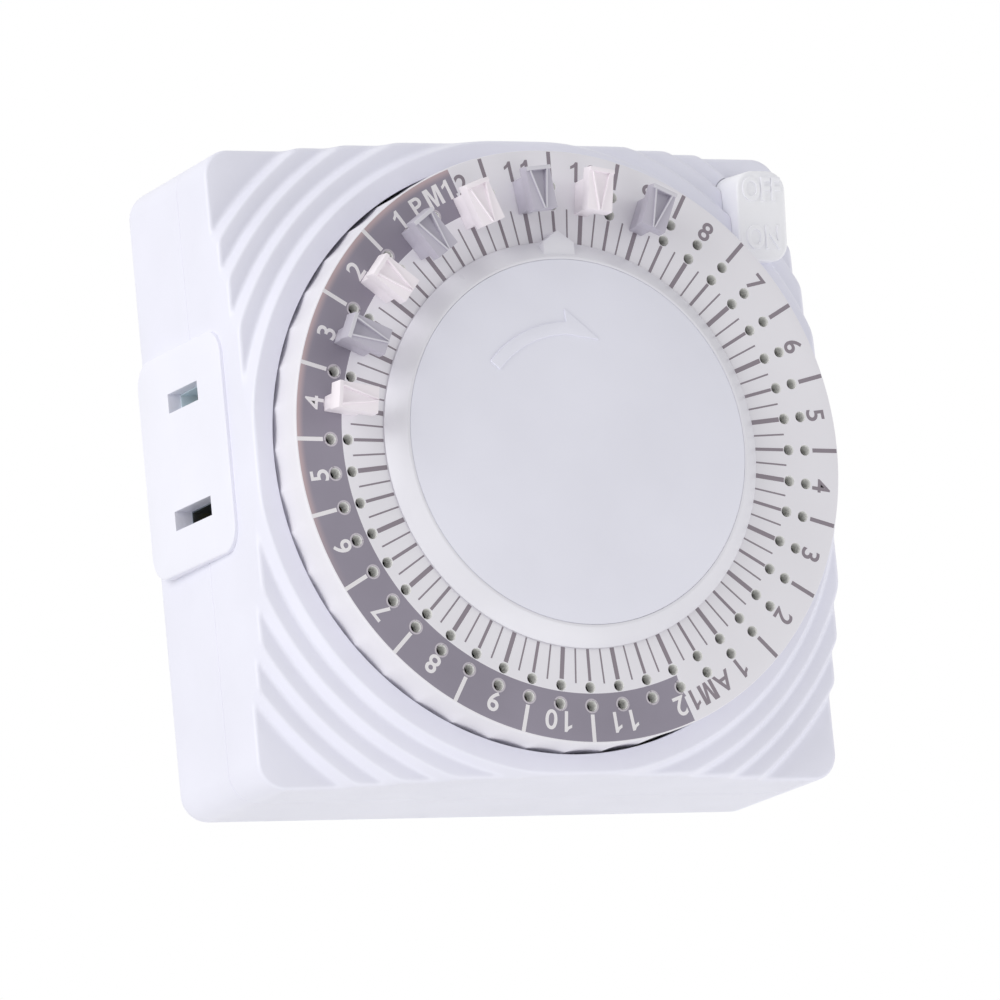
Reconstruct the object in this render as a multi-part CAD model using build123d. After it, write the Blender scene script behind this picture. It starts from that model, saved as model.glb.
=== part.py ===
from build123d import *
import os
from math import acos, atan2, copysign, cos, degrees, hypot, pi, radians, sin, sqrt

# Plug-in 24 hour timer switch.  Millimetres, +Z up, +X to the right of someone facing the dial.
# The origin is where the dial's axis meets the flat back of the housing.
# The dial faces -Y and the wall is at +Y.

# ---- housing ----
BODY_SIDE = 69.4            # square housing, seen from the front
CORNER_R = 3.0              # its four upright corners
LEAST_CORNER_R = 0.5        # inside corners never get sharper than this
BACK_EDGE_R = 2.6           # rounding between the walls and the back
WALL = 1.8                  # side walls
BACK_WALL = 2.2             # flat back
REAR_DEPTH = 14.6           # from the back to the parting line of the two covers
RIM_DEPTH = 28.3            # from the back to the flat ring round the dial
LIP_DEPTH = 1.2             # the rear cover's lip reaches this far into the front cover
LIP_WALL = 0.8
LIP_GAP = 0.05

# ---- moulded steps in the front's corners ----
STEP_COUNT = 4
STEP_INNER_R = 35.45        # foot of the innermost riser
STEP_PITCH = 2.45
STEP_HEIGHT = 1.55
STEP_RISER = 0.6            # how far a riser leans back over its height
STEP_BULGE = 0.2            # how far the middle of each tread stands out
STEP_SKIN = 1.9             # cover left behind the feet of the risers

# ---- dial and its well ----
DIAL_DEPTH = 33.5           # from the back to the dial's face
DIAL_R = 32.3               # edge of the face
DIAL_SKIRT_R = 32.5         # over the tips of the grip flutes
DIAL_FACE = 1.8             # thickness of the face
DIAL_RIM_R = 30.2           # inside of the rim
DIAL_BACK = 22.5            # from the back to the rear end of the rim
WELL_R = 32.88              # opening in the front cover
COLLAR_WALL = 1.4           # wall round the well, behind the steps
FLUTE_COUNT = 45
FLUTE_SAG = 0.47            # depth of a flute between its tips
FLUTE_FLOOR = 0.4           # flat bottom of a flute, as a share of its width
FLUTE_REACH = 4.0           # a flute is cut out to this many times half its width
FLUTE_RUN_IN = 1.03         # a flute fades out toward the face and is this much deeper at the rim's rear end
FLUTE_START = 0.3           # behind the face
DIAL_TURN = 1.18            # degrees clockwise past half past ten in the morning
NOON_HOUR = 10.5            # the hour that stands under the pointer when the dial isn't turned further
HALF_HOURS = 48
HOLE_D = 1.2                # across the flats
HOLE_SIDES = 6
HOLE_INNER_R = 26.28
HOLE_OUTER_R = 28.29

# ---- fixed hub in the middle of the dial ----
POST_R = 5.0
RUN_FIT = 0.05              # radial running clearance of everything that turns on a post, pin or shaft
SLEEVE_WALL = 2.3
FLANGE_R = 7.5
FLANGE = 1.0
FLANGE_GAP = 0.2            # end play of the dial
HUB_R = 22.1                # foot of the hub's cone
HUB_CAP_R = 19.78
HUB_CAP_GAP = 0.1
HUB_BRIM = 0.3              # flat edge of the cone round the cap
HUB_RISE = 1.93             # cap stands this far in front of the dial's face
HUB_GAP = 0.15              # under the hub, over the turning face
HUB_CAP = 0.83
ARROW_R = 12.3              # middle of the curved arrow
ARROW_W = 1.35
ARROW_RISE = 0.12
ARROW_TAIL = 48.0           # degrees counter-clockwise from the top
ARROW_NECK = 1.0            # degrees, where the head begins
ARROW_TIP = 17.8            # degrees clockwise from the top
ARROW_BARB_R = 14.4
POINTER_TIP_R = 23.0
POINTER_SHOULDER_R = 21.6
POINTER_FOOT_R = 19.95
POINTER_HALF = 1.8
POINTER_RISE = 1.5

# ---- trippers ----
TRIPPER_HOURS = {
    "9am": 9, "10am": 10, "11am": 11, "12noon": 12, "1pm": 13, "2pm": 14, "3pm": 15, "4pm": 16}
HEAD_INNER_R = 24.87
HEAD_OUTER_R = 29.3
HEAD_BULGE = 0.4            # the outer face leans out toward the dial
HEAD_W = 2.9
HEAD_H = 1.7
STEM_W = 1.6
STEM_INNER_R = 25.4
STEM_OUTER_R = 29.0
STEM_H = 3.3
PRONG_D = 1.1
PRONG_L = 4.3
HEAD_RIM = 0.4
HEAD_RECESS = 0.9           # deepest, beside the outer rim
HEAD_DISH = 0.3             # side facets beside the V
HEAD_CREST = 0.3            # half the V's blunt end

# ---- gear train ----
RING_TEETH = 60
DRIVE_TEETH = 10
RING_MODULE = 0.96
WHEEL_TEETH = 30
IDLER_TEETH = 10
IDLER_WHEEL_TEETH = 32
ROTOR_TEETH = 10
TRAIN_MODULE = 0.5
PRESSURE = 20.0
ADDENDUM = 0.8              # times the module
DEDENDUM = 1.15
RING_BACKLASH = 0.14
TRAIN_BACKLASH = 0.14
CENTRE_PLAY = 0.05          # added to each centre distance
RING_FACE = 4.0
RING_LAP = 0.2              # the ring gear runs this far into the rim
DRIVE_ANGLE = 240.0         # degrees counter-clockwise from +X, where the drive gear meshes with the dial
IDLER_ANGLE = 5.0           # from the drive gear to the idler
ROTOR_ANGLE = 40.0          # from the idler to the motor's shaft
WHEEL_FACE = 1.2
LAYER_GAP = 0.4
PIN_R = 0.75                # pins moulded on the mechanism plate, and the motor's shaft
FOOT_R = 1.3                # spacers between the plate and the gears
NECK_R = 2.4                # between the drive gear's wheel and its pinion

# ---- mechanism plate ----
PLATE = 1.6
PLATE_FRONT = 18.8          # from the back
PLATE_GAP = 0.3
SCREW_AT = 28.2             # screw axes, from the middle
SCREW_CORNERS = ((-1, 1), (1, -1))
SCREW_R = 1.3
SCREW_HEAD_R = 2.5
SCREW_HEAD = 1.8
SCREW_LENGTH = 15.0
SCREW_HOLE = 21.0           # the bosses are drilled this far, from the back
SCREW_SUNK = 1.0            # heads lie this far inside the back
BOSS_HALF = 2.9             # from a screw's axis to the inner sides of its square boss
SCREW_GAP = 0.2
BOSS_EXTRA = 0.6            # the rear bosses are this much thicker, for the screw heads

# ---- outlet in the left wall, and the plug blades at the back (two-slot 125 V pattern) ----
BLADE_PITCH = 12.7
BLADE = 1.5
LIVE_W = 6.35
NEUTRAL_W = 7.94
BLADE_LENGTH = 16.5
BLADE_TAB = 5.5
BLADE_TIP = 1.0             # taper at a blade's end, half of it on each side
BLADE_HOLE_R = 1.6
BLADE_HOLE_IN = 4.7         # from a blade's end to the middle of its hole
BLADE_FOOT = 4.4            # cross piece that holds a blade inside the back
BLADE_FOOT_T = 1.0
PLUG_Z = 10.0
OUTLET_Y = -13.45
OUTLET_Z = 3.2
SLOT_GAP = 0.3              # all round a blade that is pushed in
PAD_W = 19.65               # along Y
PAD_H = 24.0
PAD_Y = -12.73
PAD_R = 2.8
PAD_BREAK = 0.3             # chamfer round its face
PAD_PROUD = 1.3
PAD_LAP = 0.8
PAD_FIT = 0.1
PAD_BLOCK = 1.6
PAD_BLOCK_MARGIN = 0.6      # the block inside the wall is this much taller at each end
CONTACT_STRIP = 0.45
CONTACT_GAP = 1.3
CONTACT_W = 6.0
CONTACT_L = 13.5
CRADLE_INSET = 1.0          # the cradle under a contact ends this far short of it
CRADLE_HALF = 1.6

# ---- motor ----
CASE_R = 14.0
CASE_L = 11.0
CASE_WALL = 0.8
ROTOR_R = 6.0
ROTOR_INSET = 2.2           # between the magnet and either end of the case
COIL_INNER_R = 8.1
COIL_R = 12.4
COIL_L = 6.4
BOBBIN_WALL = 0.7

# ---- rocker ----
ROCKER_X = 28.6
ROCKER_Z = 26.6
ROCKER_W = 5.6
ROCKER_L = 10.2
ROCKER_R = 2.1
ROCKER_BREAK = 0.3          # chamfer round its face
ROCKER_GAP = 0.3
ROCKER_END_GAP = 0.55       # leaves room for the ends to swing
ROCKER_TOP = 28.5           # from the back, halfway along
ROCKER_SKIRT = 22.4
ROCKER_TILT = 5.5           # degrees each way
ROCKER_PIN_Y = -24.6
ROCKER_PIN_R = 0.8
EAR = 1.6                   # block that holds the axle on the dial's side
EAR_HALF = 1.9
ROCKER_STEM = 2.0
ROCKER_STEM_END = 17.4
STEM_SIDE = 0.6             # beside the stem
STEM_SLOT = 3.0             # half the height of the mechanism plate's slot round the stem
OVERRIDE_FOOT = 1.0
OVERRIDE_REACH = 13.6       # from the rocker's middle down to the leaf's lower end

# ---- trip lever and switch contacts ----
LEVER_X, LEVER_Z = 10.0, 18.0
LEVER_TIP_R = 27.3
LEVER_ARM = 2.4
LEVER_LAYER = 1.4
LEVER_CLEAR = 0.9           # between the prongs' ends and the lever, over the dial's end play
LEVER_HUB_R = 1.9
PEG_X, PEG_Z = 16.5, 13.5
PEG_R = 0.9
PEG_HOLE_R = 2.1
LEAF = 0.3
LEAF_W = 4.6
LEAF_Z = 11.7               # moving leaf
LEAF_PITCH = 3.4            # the fixed leaf lies this far below it
LEAF_INSET = 0.6            # behind the mechanism plate
LEAF_X = -12.5              # clamped end
MOVING_LEAF = 33.0
FIXED_LEAF = 24.0
BLOCK_L = 5.5               # the switch block holds this much of each leaf
BLOCK_END = 0.5
BLOCK_MARGIN = 2.5
TIP_W = 2.4                 # square contact tips
TIP_H = 1.0
TIP_X = 10.0
PIN_HEAD = 0.4              # a pin stands this far through what turns on it


def facing(depth):
    """Plane square to the dial's axis, `depth` in front of the back, facing the user: x is X, y is Z."""
    return Plane(origin=(0, -depth, 0), x_dir=(1, 0, 0), z_dir=(0, -1, 0))


def slab(sketch, near, far):
    """The sketch, drawn as the user sees it, as a solid from `near` to `far` in front of the back."""
    return extrude(facing(near) * sketch, far - near)


def turned(points):
    """Solid of revolution about the dial's axis from (radius, distance from the back) points."""
    outline = Polyline(*[(r, -d) for r, d in points], close=True)
    return revolve(make_face(outline), Axis.Y)


def disc(x, z, radius, near, far):
    """Round solid about an axis along Y."""
    return slab(Pos(x, z) * Circle(radius), near, far)


def box(x0, x1, near, far, z0, z1):
    """Box between two X, two distances from the back and two Z."""
    return Pos((x0 + x1) / 2, -(near + far) / 2, (z0 + z1) / 2) * Box(x1 - x0, far - near, z1 - z0)


def polar(radius, angle):
    """Point in the user's view, angle in degrees counter-clockwise from +X."""
    return radius * cos(radians(angle)), radius * sin(radians(angle))


def clock(radius, angle):
    """Point in the user's view, angle in degrees clockwise from the top."""
    return radius * sin(radians(angle)), radius * cos(radians(angle))


def body_outline(inset):
    side = BODY_SIDE - 2 * inset
    return RectangleRounded(side, side, CORNER_R - min(inset, CORNER_R - LEAST_CORNER_R))


def save(shape, name):
    export_step(shape, "parts/" + name + ".step")


# ---------------------------------------------------------------- places that several pieces share
HALF = BODY_SIDE / 2
INNER = HALF - WALL
SCREW_POINTS = [(SCREW_AT * right, SCREW_AT * up) for right, up in SCREW_CORNERS]
PLATE_BACK = PLATE_FRONT - PLATE
HUB_FRONT = DIAL_DEPTH + HUB_RISE
HUB_SEAT = HUB_FRONT - HUB_CAP
RING_PITCH_R = RING_TEETH * RING_MODULE / 2
DRIVE_R = RING_PITCH_R - DRIVE_TEETH * RING_MODULE / 2 - CENTRE_PLAY
DRIVE_AT = polar(DRIVE_R, DRIVE_ANGLE)
IDLER_STEP = (WHEEL_TEETH + IDLER_TEETH) * TRAIN_MODULE / 2 + CENTRE_PLAY
IDLER_AT = tuple(a + b for a, b in zip(DRIVE_AT, polar(IDLER_STEP, IDLER_ANGLE)))
ROTOR_STEP = (IDLER_WHEEL_TEETH + ROTOR_TEETH) * TRAIN_MODULE / 2 + CENTRE_PLAY
ROTOR_AT = tuple(a + b for a, b in zip(IDLER_AT, polar(ROTOR_STEP, ROTOR_ANGLE)))
ROTOR_LAYER = (PLATE_FRONT + LAYER_GAP, PLATE_FRONT + LAYER_GAP + WHEEL_FACE)
WHEEL_LAYER = (ROTOR_LAYER[1] + LAYER_GAP, ROTOR_LAYER[1] + LAYER_GAP + WHEEL_FACE)
RING_LAYER = (DIAL_BACK, DIAL_BACK + RING_FACE)
LEVER_BACK_LAYER = (PLATE_FRONT + LAYER_GAP, PLATE_FRONT + LAYER_GAP + LEVER_LAYER)
LEVER_FRONT = DIAL_DEPTH - PRONG_L - LEVER_CLEAR
LEVER_FRONT_LAYER = (LEVER_FRONT - LEVER_LAYER, LEVER_FRONT)
LIVE_Z = OUTLET_Z + BLADE_PITCH / 2
NEUTRAL_Z = OUTLET_Z - BLADE_PITCH / 2


# ---------------------------------------------------------------- front cover
def step_surface():
    """Everything in front of the stepped face, turned about the dial's axis."""
    ahead = RIM_DEPTH + STEP_HEIGHT
    crest = STEP_INNER_R - STEP_RISER
    points = [(crest, ahead), (crest, RIM_DEPTH)]
    for k in range(STEP_COUNT):
        foot = STEP_INNER_R + k * STEP_PITCH
        tread = RIM_DEPTH - (k + 1) * STEP_HEIGHT
        points.append((foot, tread))
        if k < STEP_COUNT - 1:
            crest = foot + STEP_PITCH - STEP_RISER
            points += [((foot + crest) / 2, tread + STEP_BULGE), (crest, tread)]
    return turned(points + [(BODY_SIDE, tread), (BODY_SIDE, ahead)])


def boss(x, z, grow, near, far):
    """Square block in the corner of the housing round a screw."""
    side_x, side_z = copysign(1, x), copysign(1, z)
    reach = BOSS_HALF + grow
    x0, x1 = sorted((x - side_x * reach, side_x * HALF))
    z0, z1 = sorted((z - side_z * reach, side_z * HALF))
    return box(x0, x1, near, far, z0, z1)


def front_cover():
    """Front shell: stepped corners, well for the dial, rocker opening, screw bosses, rebate for the lip."""
    shell = slab(body_outline(0), REAR_DEPTH, RIM_DEPTH) - step_surface()
    slope = STEP_HEIGHT / STEP_PITCH
    far_r = STEP_INNER_R + STEP_PITCH * STEP_COUNT
    ceiling = RIM_DEPTH - STEP_HEIGHT - STEP_SKIN
    low = ceiling - slope * (far_r - STEP_INNER_R)
    behind = turned([
        (0, REAR_DEPTH), (BODY_SIDE, REAR_DEPTH), (BODY_SIDE, low), (far_r, low), (STEP_INNER_R, ceiling),
        (0, ceiling)])
    hollow = slab(body_outline(WALL), REAR_DEPTH, RIM_DEPTH) & behind
    hollow -= disc(0, 0, WELL_R + COLLAR_WALL, PLATE_FRONT, RIM_DEPTH)
    for x, z in SCREW_POINTS:
        hollow -= boss(x, z, 0, REAR_DEPTH, RIM_DEPTH)
    hollow -= rocker_ears()
    cover = shell - hollow
    cover -= disc(0, 0, WELL_R, REAR_DEPTH, RIM_DEPTH + STEP_HEIGHT)
    cover -= slab(body_outline(WALL - LIP_WALL), REAR_DEPTH, REAR_DEPTH + LIP_DEPTH + LIP_GAP)
    for x, z in SCREW_POINTS:
        cover -= disc(x, z, SCREW_R, REAR_DEPTH, SCREW_HOLE)
    opening = RectangleRounded(
        ROCKER_W + 2 * ROCKER_GAP, ROCKER_L + 2 * ROCKER_END_GAP, ROCKER_R + ROCKER_GAP)
    cover -= slab(Pos(ROCKER_X, ROCKER_Z) * opening, PLATE_FRONT, RIM_DEPTH + STEP_HEIGHT)
    cover -= rocker_axle(0)
    cover -= pad_neck(PAD_FIT)
    return cover


# ---------------------------------------------------------------- outlet pad in the left wall
def pad_outline(grow):
    """Outline of the pad in the left wall: x runs toward the back of the object, y upward."""
    return RectangleRounded(PAD_W + 2 * grow, PAD_H + 2 * grow, PAD_R + grow)


def side_slab(sketch, x0, x1):
    """A sketch in the side view, with x along +Y and y along +Z, as a solid between two X."""
    return extrude(Plane(origin=(x0, 0, 0), x_dir=(0, 1, 0), z_dir=(1, 0, 0)) * sketch, x1 - x0)


def pad_neck(grow):
    """The pad's neck, which stops short of the dial's well but reaches the inside of the wall behind it."""
    outline = Pos(PAD_Y, OUTLET_Z) * pad_outline(grow - PAD_LAP)
    behind = box(-HALF, -INNER, 0, PLATE_BACK - PAD_FIT + grow, -HALF, HALF)
    return side_slab(outline, -HALF, -WELL_R) + (side_slab(outline, -HALF, -INNER) & behind)


def outlet_plate():
    """Moulded pad with the two slots, trapped in the left wall between the two covers."""
    plate = side_slab(Pos(PAD_Y, OUTLET_Z) * pad_outline(0), -HALF - PAD_PROUD, -HALF)
    plate = chamfer(plate.faces().sort_by(Axis.X)[0].edges(), PAD_BREAK)
    plate += pad_neck(0)
    block_back = BACK_WALL + PAD_FIT
    block_front = PLATE_BACK - PAD_FIT
    half = PAD_H / 2 + PAD_BLOCK_MARGIN
    plate += box(
        -INNER, -INNER + PAD_BLOCK, block_back, block_front, OUTLET_Z - half, OUTLET_Z + half)
    for z, width in ((LIVE_Z, LIVE_W), (NEUTRAL_Z, NEUTRAL_W)):
        slot = Rectangle(width + 2 * SLOT_GAP, BLADE + 2 * SLOT_GAP)
        plate -= side_slab(Pos(OUTLET_Y, z) * slot, -HALF - 2 * PAD_PROUD, -INNER + 2 * PAD_BLOCK)
    return plate


def outlet_contact(z):
    """Folded brass strip that grips a blade between its two leaves."""
    reach = -INNER + PAD_BLOCK + PAD_FIT
    outer = CONTACT_GAP / 2 + CONTACT_STRIP
    middle = -OUTLET_Y
    strip = box(
        reach, reach + CONTACT_L, middle - CONTACT_W / 2, middle + CONTACT_W / 2, z - outer, z + outer)
    gap = box(
        reach - CONTACT_STRIP, reach + CONTACT_L - CONTACT_STRIP, middle - CONTACT_W, middle + CONTACT_W,
        z - CONTACT_GAP / 2, z + CONTACT_GAP / 2)
    return strip - gap


# ---------------------------------------------------------------- rear cover
def rear_cover():
    """Rear shell with the lip, blade slots, screw posts and the cradles under the outlet contacts."""
    cover = slab(body_outline(0), 0, REAR_DEPTH)
    cover = fillet(cover.faces().sort_by(Axis.Y)[-1].edges(), BACK_EDGE_R)
    cover += slab(body_outline(WALL - LIP_WALL + LIP_GAP), REAR_DEPTH, REAR_DEPTH + LIP_DEPTH)
    cover -= slab(body_outline(WALL), BACK_WALL, REAR_DEPTH + LIP_DEPTH)
    for x, z in SCREW_POINTS:
        cover += boss(x, z, BOSS_EXTRA, BACK_WALL, REAR_DEPTH) & slab(body_outline(WALL / 2), 0, REAR_DEPTH)
        cover -= disc(x, z, SCREW_R + SCREW_GAP, 0, REAR_DEPTH)
        cover -= disc(x, z, SCREW_HEAD_R + SCREW_GAP, 0, SCREW_HEAD + SCREW_SUNK)
    reach = -INNER + PAD_BLOCK + PAD_FIT
    for z in (LIVE_Z, NEUTRAL_Z):
        cover += box(
            reach + CRADLE_INSET, reach + CONTACT_L - CRADLE_INSET, BACK_WALL, -OUTLET_Y - CONTACT_W / 2,
            z - CRADLE_HALF, z + CRADLE_HALF)
    for x, width in blade_places():
        slot = Rectangle(BLADE + 2 * PAD_FIT, width + 2 * PAD_FIT)
        cover -= slab(Pos(x, PLUG_Z) * slot, -1, BACK_WALL + 1)
    cover -= pad_neck(PAD_FIT)
    return cover


def blade_places():
    """Live blade on the left of the back view, wider neutral blade on its right."""
    return ((BLADE_PITCH / 2, LIVE_W), (-BLADE_PITCH / 2, NEUTRAL_W))


def plug_blade(x, width):
    """Flat blade with tapered tip, its round hole, and the tab that holds it inside the back."""
    low, high = PLUG_Z - width / 2, PLUG_Z + width / 2
    blade = box(x - BLADE / 2, x + BLADE / 2, -BLADE_LENGTH, BLADE_TAB, low, high)
    ends = blade.faces().sort_by(Axis.Y)[-1].edges().filter_by(Axis.X)
    blade = chamfer(ends, BLADE_TIP)
    blade -= Pos(x, BLADE_LENGTH - BLADE_HOLE_IN, PLUG_Z) * Rot(0, 90, 0) * Cylinder(BLADE_HOLE_R, 2 * BLADE)
    foot = BLADE_FOOT / 2
    return blade + box(x - foot, x + foot, BACK_WALL, BACK_WALL + BLADE_FOOT_T, low, high)


def housing_screws():
    """Two screws from the back into the front cover's bosses."""
    group = []
    for x, z in SCREW_POINTS:
        seat = SCREW_SUNK + SCREW_HEAD
        shank = disc(x, z, SCREW_R, seat, seat + SCREW_LENGTH)
        group.append(shank + disc(x, z, SCREW_HEAD_R, SCREW_SUNK, seat))
    return Compound(children=group)


# ---------------------------------------------------------------- gears
def involute_angle(base, radius):
    ratio = max(radius / base, 1.0)
    return sqrt(ratio * ratio - 1) - acos(1 / ratio)


def gear_outline(teeth, module, radii, thicken, turn):
    """Gear outline, its flanks on an involute through the given radii; `turn` points a tooth, in degrees."""
    pitch = teeth * module / 2
    base = pitch * cos(radians(PRESSURE))
    at_pitch = pi / (2 * teeth) + thicken / (2 * pitch)
    flank = [(r, at_pitch + involute_angle(base, pitch) - involute_angle(base, r)) for r in radii]
    points = []
    for k in range(teeth):
        centre = radians(turn) + 2 * pi * k / teeth
        points += [(r * cos(centre - a), r * sin(centre - a)) for r, a in flank]
        points += [(r * cos(centre + a), r * sin(centre + a)) for r, a in reversed(flank)]
    return make_face(Polyline(*points, close=True))


def spur(teeth, module, backlash, turn):
    pitch = teeth * module / 2
    radii = (pitch - DEDENDUM * module, pitch + ADDENDUM * module)
    return gear_outline(teeth, module, radii, -backlash, turn)


def drive_gear():
    """Pinion that turns the dial's ring gear, with the wheel that the idler drives."""
    pinion = slab(Pos(*DRIVE_AT) * spur(DRIVE_TEETH, RING_MODULE, RING_BACKLASH, DRIVE_ANGLE), *RING_LAYER)
    teeth = spur(WHEEL_TEETH, TRAIN_MODULE, TRAIN_BACKLASH, IDLER_ANGLE)
    wheel = slab(Pos(*DRIVE_AT) * teeth, *WHEEL_LAYER)
    neck = disc(*DRIVE_AT, NECK_R, WHEEL_LAYER[1], RING_LAYER[0])
    foot = disc(*DRIVE_AT, FOOT_R, PLATE_FRONT + FLANGE_GAP, WHEEL_LAYER[0])
    return pinion + neck + wheel + foot - disc(*DRIVE_AT, PIN_R + RUN_FIT, PLATE_FRONT, RING_LAYER[1])


def idler_gear():
    """Wheel driven by the motor's pinion, with the small pinion that drives the drive gear."""
    turn = IDLER_ANGLE + 180 + 180 / IDLER_TEETH
    pinion = slab(Pos(*IDLER_AT) * spur(IDLER_TEETH, TRAIN_MODULE, TRAIN_BACKLASH, turn),
                  ROTOR_LAYER[1], WHEEL_LAYER[1])
    teeth = spur(IDLER_WHEEL_TEETH, TRAIN_MODULE, TRAIN_BACKLASH, ROTOR_ANGLE)
    wheel = slab(Pos(*IDLER_AT) * teeth, *ROTOR_LAYER)
    foot = disc(*IDLER_AT, FOOT_R, PLATE_FRONT + FLANGE_GAP, ROTOR_LAYER[0])
    return pinion + wheel + foot - disc(*IDLER_AT, PIN_R + RUN_FIT, PLATE_FRONT, WHEEL_LAYER[1])


def motor_rotor():
    """Magnet rotor, shaft and the pinion on its front end."""
    turn = ROTOR_ANGLE + 180 + 180 / ROTOR_TEETH
    back = PLATE_BACK - CASE_L
    pinion = slab(Pos(*ROTOR_AT) * spur(ROTOR_TEETH, TRAIN_MODULE, TRAIN_BACKLASH, turn), *ROTOR_LAYER)
    shaft = disc(*ROTOR_AT, PIN_R, back, ROTOR_LAYER[1])
    magnet = disc(*ROTOR_AT, ROTOR_R, back + ROTOR_INSET, PLATE_BACK - ROTOR_INSET)
    return pinion + shaft + magnet


# ---------------------------------------------------------------- dial
def time_dial():
    """Dial wheel: face with two rings of 48 holes, fluted rim, inside ring gear and bearing sleeve."""
    back_face = DIAL_DEPTH - DIAL_FACE
    bore = POST_R + RUN_FIT
    sleeve_end = PLATE_FRONT + FLANGE + FLANGE_GAP
    dial = turned([
        (bore, DIAL_DEPTH), (DIAL_R, DIAL_DEPTH), (DIAL_SKIRT_R, RIM_DEPTH), (DIAL_SKIRT_R, DIAL_BACK),
        (DIAL_RIM_R, DIAL_BACK), (DIAL_RIM_R, back_face), (bore + SLEEVE_WALL, back_face),
        (bore + SLEEVE_WALL, sleeve_end), (bore, sleeve_end)])
    root = RING_PITCH_R + DEDENDUM * RING_MODULE
    tip = RING_PITCH_R - ADDENDUM * RING_MODULE
    spaces = gear_outline(RING_TEETH, RING_MODULE, (tip, root), RING_BACKLASH, DRIVE_ANGLE)
    dial += slab(Circle(DIAL_RIM_R + RING_LAP) - spaces, *RING_LAYER)
    holes = Sketch() + [Rot(0, 0, -hour_angle(k / 2)) * Pos(0, r) * prong_outline(HOLE_D)
                        for r in (HOLE_INNER_R, HOLE_OUTER_R) for k in range(HALF_HOURS)]
    dial -= slab(holes, back_face, DIAL_DEPTH)
    length = DIAL_DEPTH - FLUTE_START - DIAL_BACK
    half = DIAL_SKIRT_R * sin(pi / FLUTE_COUNT)
    floor = half * FLUTE_FLOOR
    reach = half * FLUTE_REACH
    height = (reach - floor) * FLUTE_SAG / (half - floor)
    section = Polyline((0, floor), (height, reach), (height, -reach), (0, -floor), close=True)
    tilt = degrees(atan2(FLUTE_RUN_IN, length))
    start = Pos(DIAL_R, FLUTE_START - DIAL_DEPTH, 0) * Rot(0, 0, tilt)
    cutter = start * extrude(Plane.XZ * make_face(section), 2 * length, both=True)
    cutter &= box(0, 2 * BODY_SIDE, 0, DIAL_DEPTH - FLUTE_START, -BODY_SIDE, BODY_SIDE)
    for k in range(FLUTE_COUNT):
        dial -= Rot(0, 180 + (k + 0.5) * 360 / FLUTE_COUNT, 0) * cutter
    return dial


def prong_outline(across):
    """Outline of a tripper's prong, and of the hole for it."""
    return RegularPolygon(across / 2, HOLE_SIDES, major_radius=False)


def hour_angle(hour):
    """Clockwise from the top, in degrees, of an hour of the day printed on the dial."""
    return (NOON_HOUR - hour) * 15 + DIAL_TURN


# ---------------------------------------------------------------- hub
def hub_post():
    """Fixed post that the dial turns on, with the flange that it rests against."""
    post = disc(0, 0, POST_R, PLATE_FRONT, DIAL_DEPTH + HUB_GAP)
    return post + disc(0, 0, FLANGE_R, PLATE_FRONT, PLATE_FRONT + FLANGE)


def hub_ring():
    """Conical ring with the time pointer and the seat for the cap."""
    foot = DIAL_DEPTH + HUB_GAP
    seat_r = HUB_CAP_R + HUB_CAP_GAP
    ring = turned([
        (0, foot), (HUB_R, foot), (seat_r + HUB_BRIM, HUB_FRONT), (seat_r, HUB_FRONT), (seat_r, HUB_SEAT),
        (0, HUB_SEAT)])
    house = Polyline(
        (-POINTER_HALF, POINTER_FOOT_R), (-POINTER_HALF, POINTER_SHOULDER_R), (0, POINTER_TIP_R),
        (POINTER_HALF, POINTER_SHOULDER_R), (POINTER_HALF, POINTER_FOOT_R), close=True)
    return ring + slab(make_face(house), foot, DIAL_DEPTH + POINTER_RISE)


def hub_cap():
    """Flat cap with the raised arrow that shows which way the dial is turned."""
    cap = disc(0, 0, HUB_CAP_R, HUB_SEAT, HUB_FRONT)
    inner, outer = ARROW_R - ARROW_W / 2, ARROW_R + ARROW_W / 2
    middle = (ARROW_NECK - ARROW_TAIL) / 2
    shaft = [
        ThreePointArc(clock(inner, -ARROW_TAIL), clock(inner, middle), clock(inner, -ARROW_NECK)),
        Line(clock(inner, -ARROW_NECK), clock(inner, ARROW_TIP)),
        Line(clock(inner, ARROW_TIP), clock(ARROW_BARB_R, -ARROW_NECK)),
        Line(clock(ARROW_BARB_R, -ARROW_NECK), clock(outer, -ARROW_NECK)),
        ThreePointArc(clock(outer, -ARROW_NECK), clock(outer, middle), clock(outer, -ARROW_TAIL)),
        Line(clock(outer, -ARROW_TAIL), clock(inner, -ARROW_TAIL))]
    return cap + slab(make_face(Curve() + shaft), HUB_FRONT, HUB_FRONT + ARROW_RISE)


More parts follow.
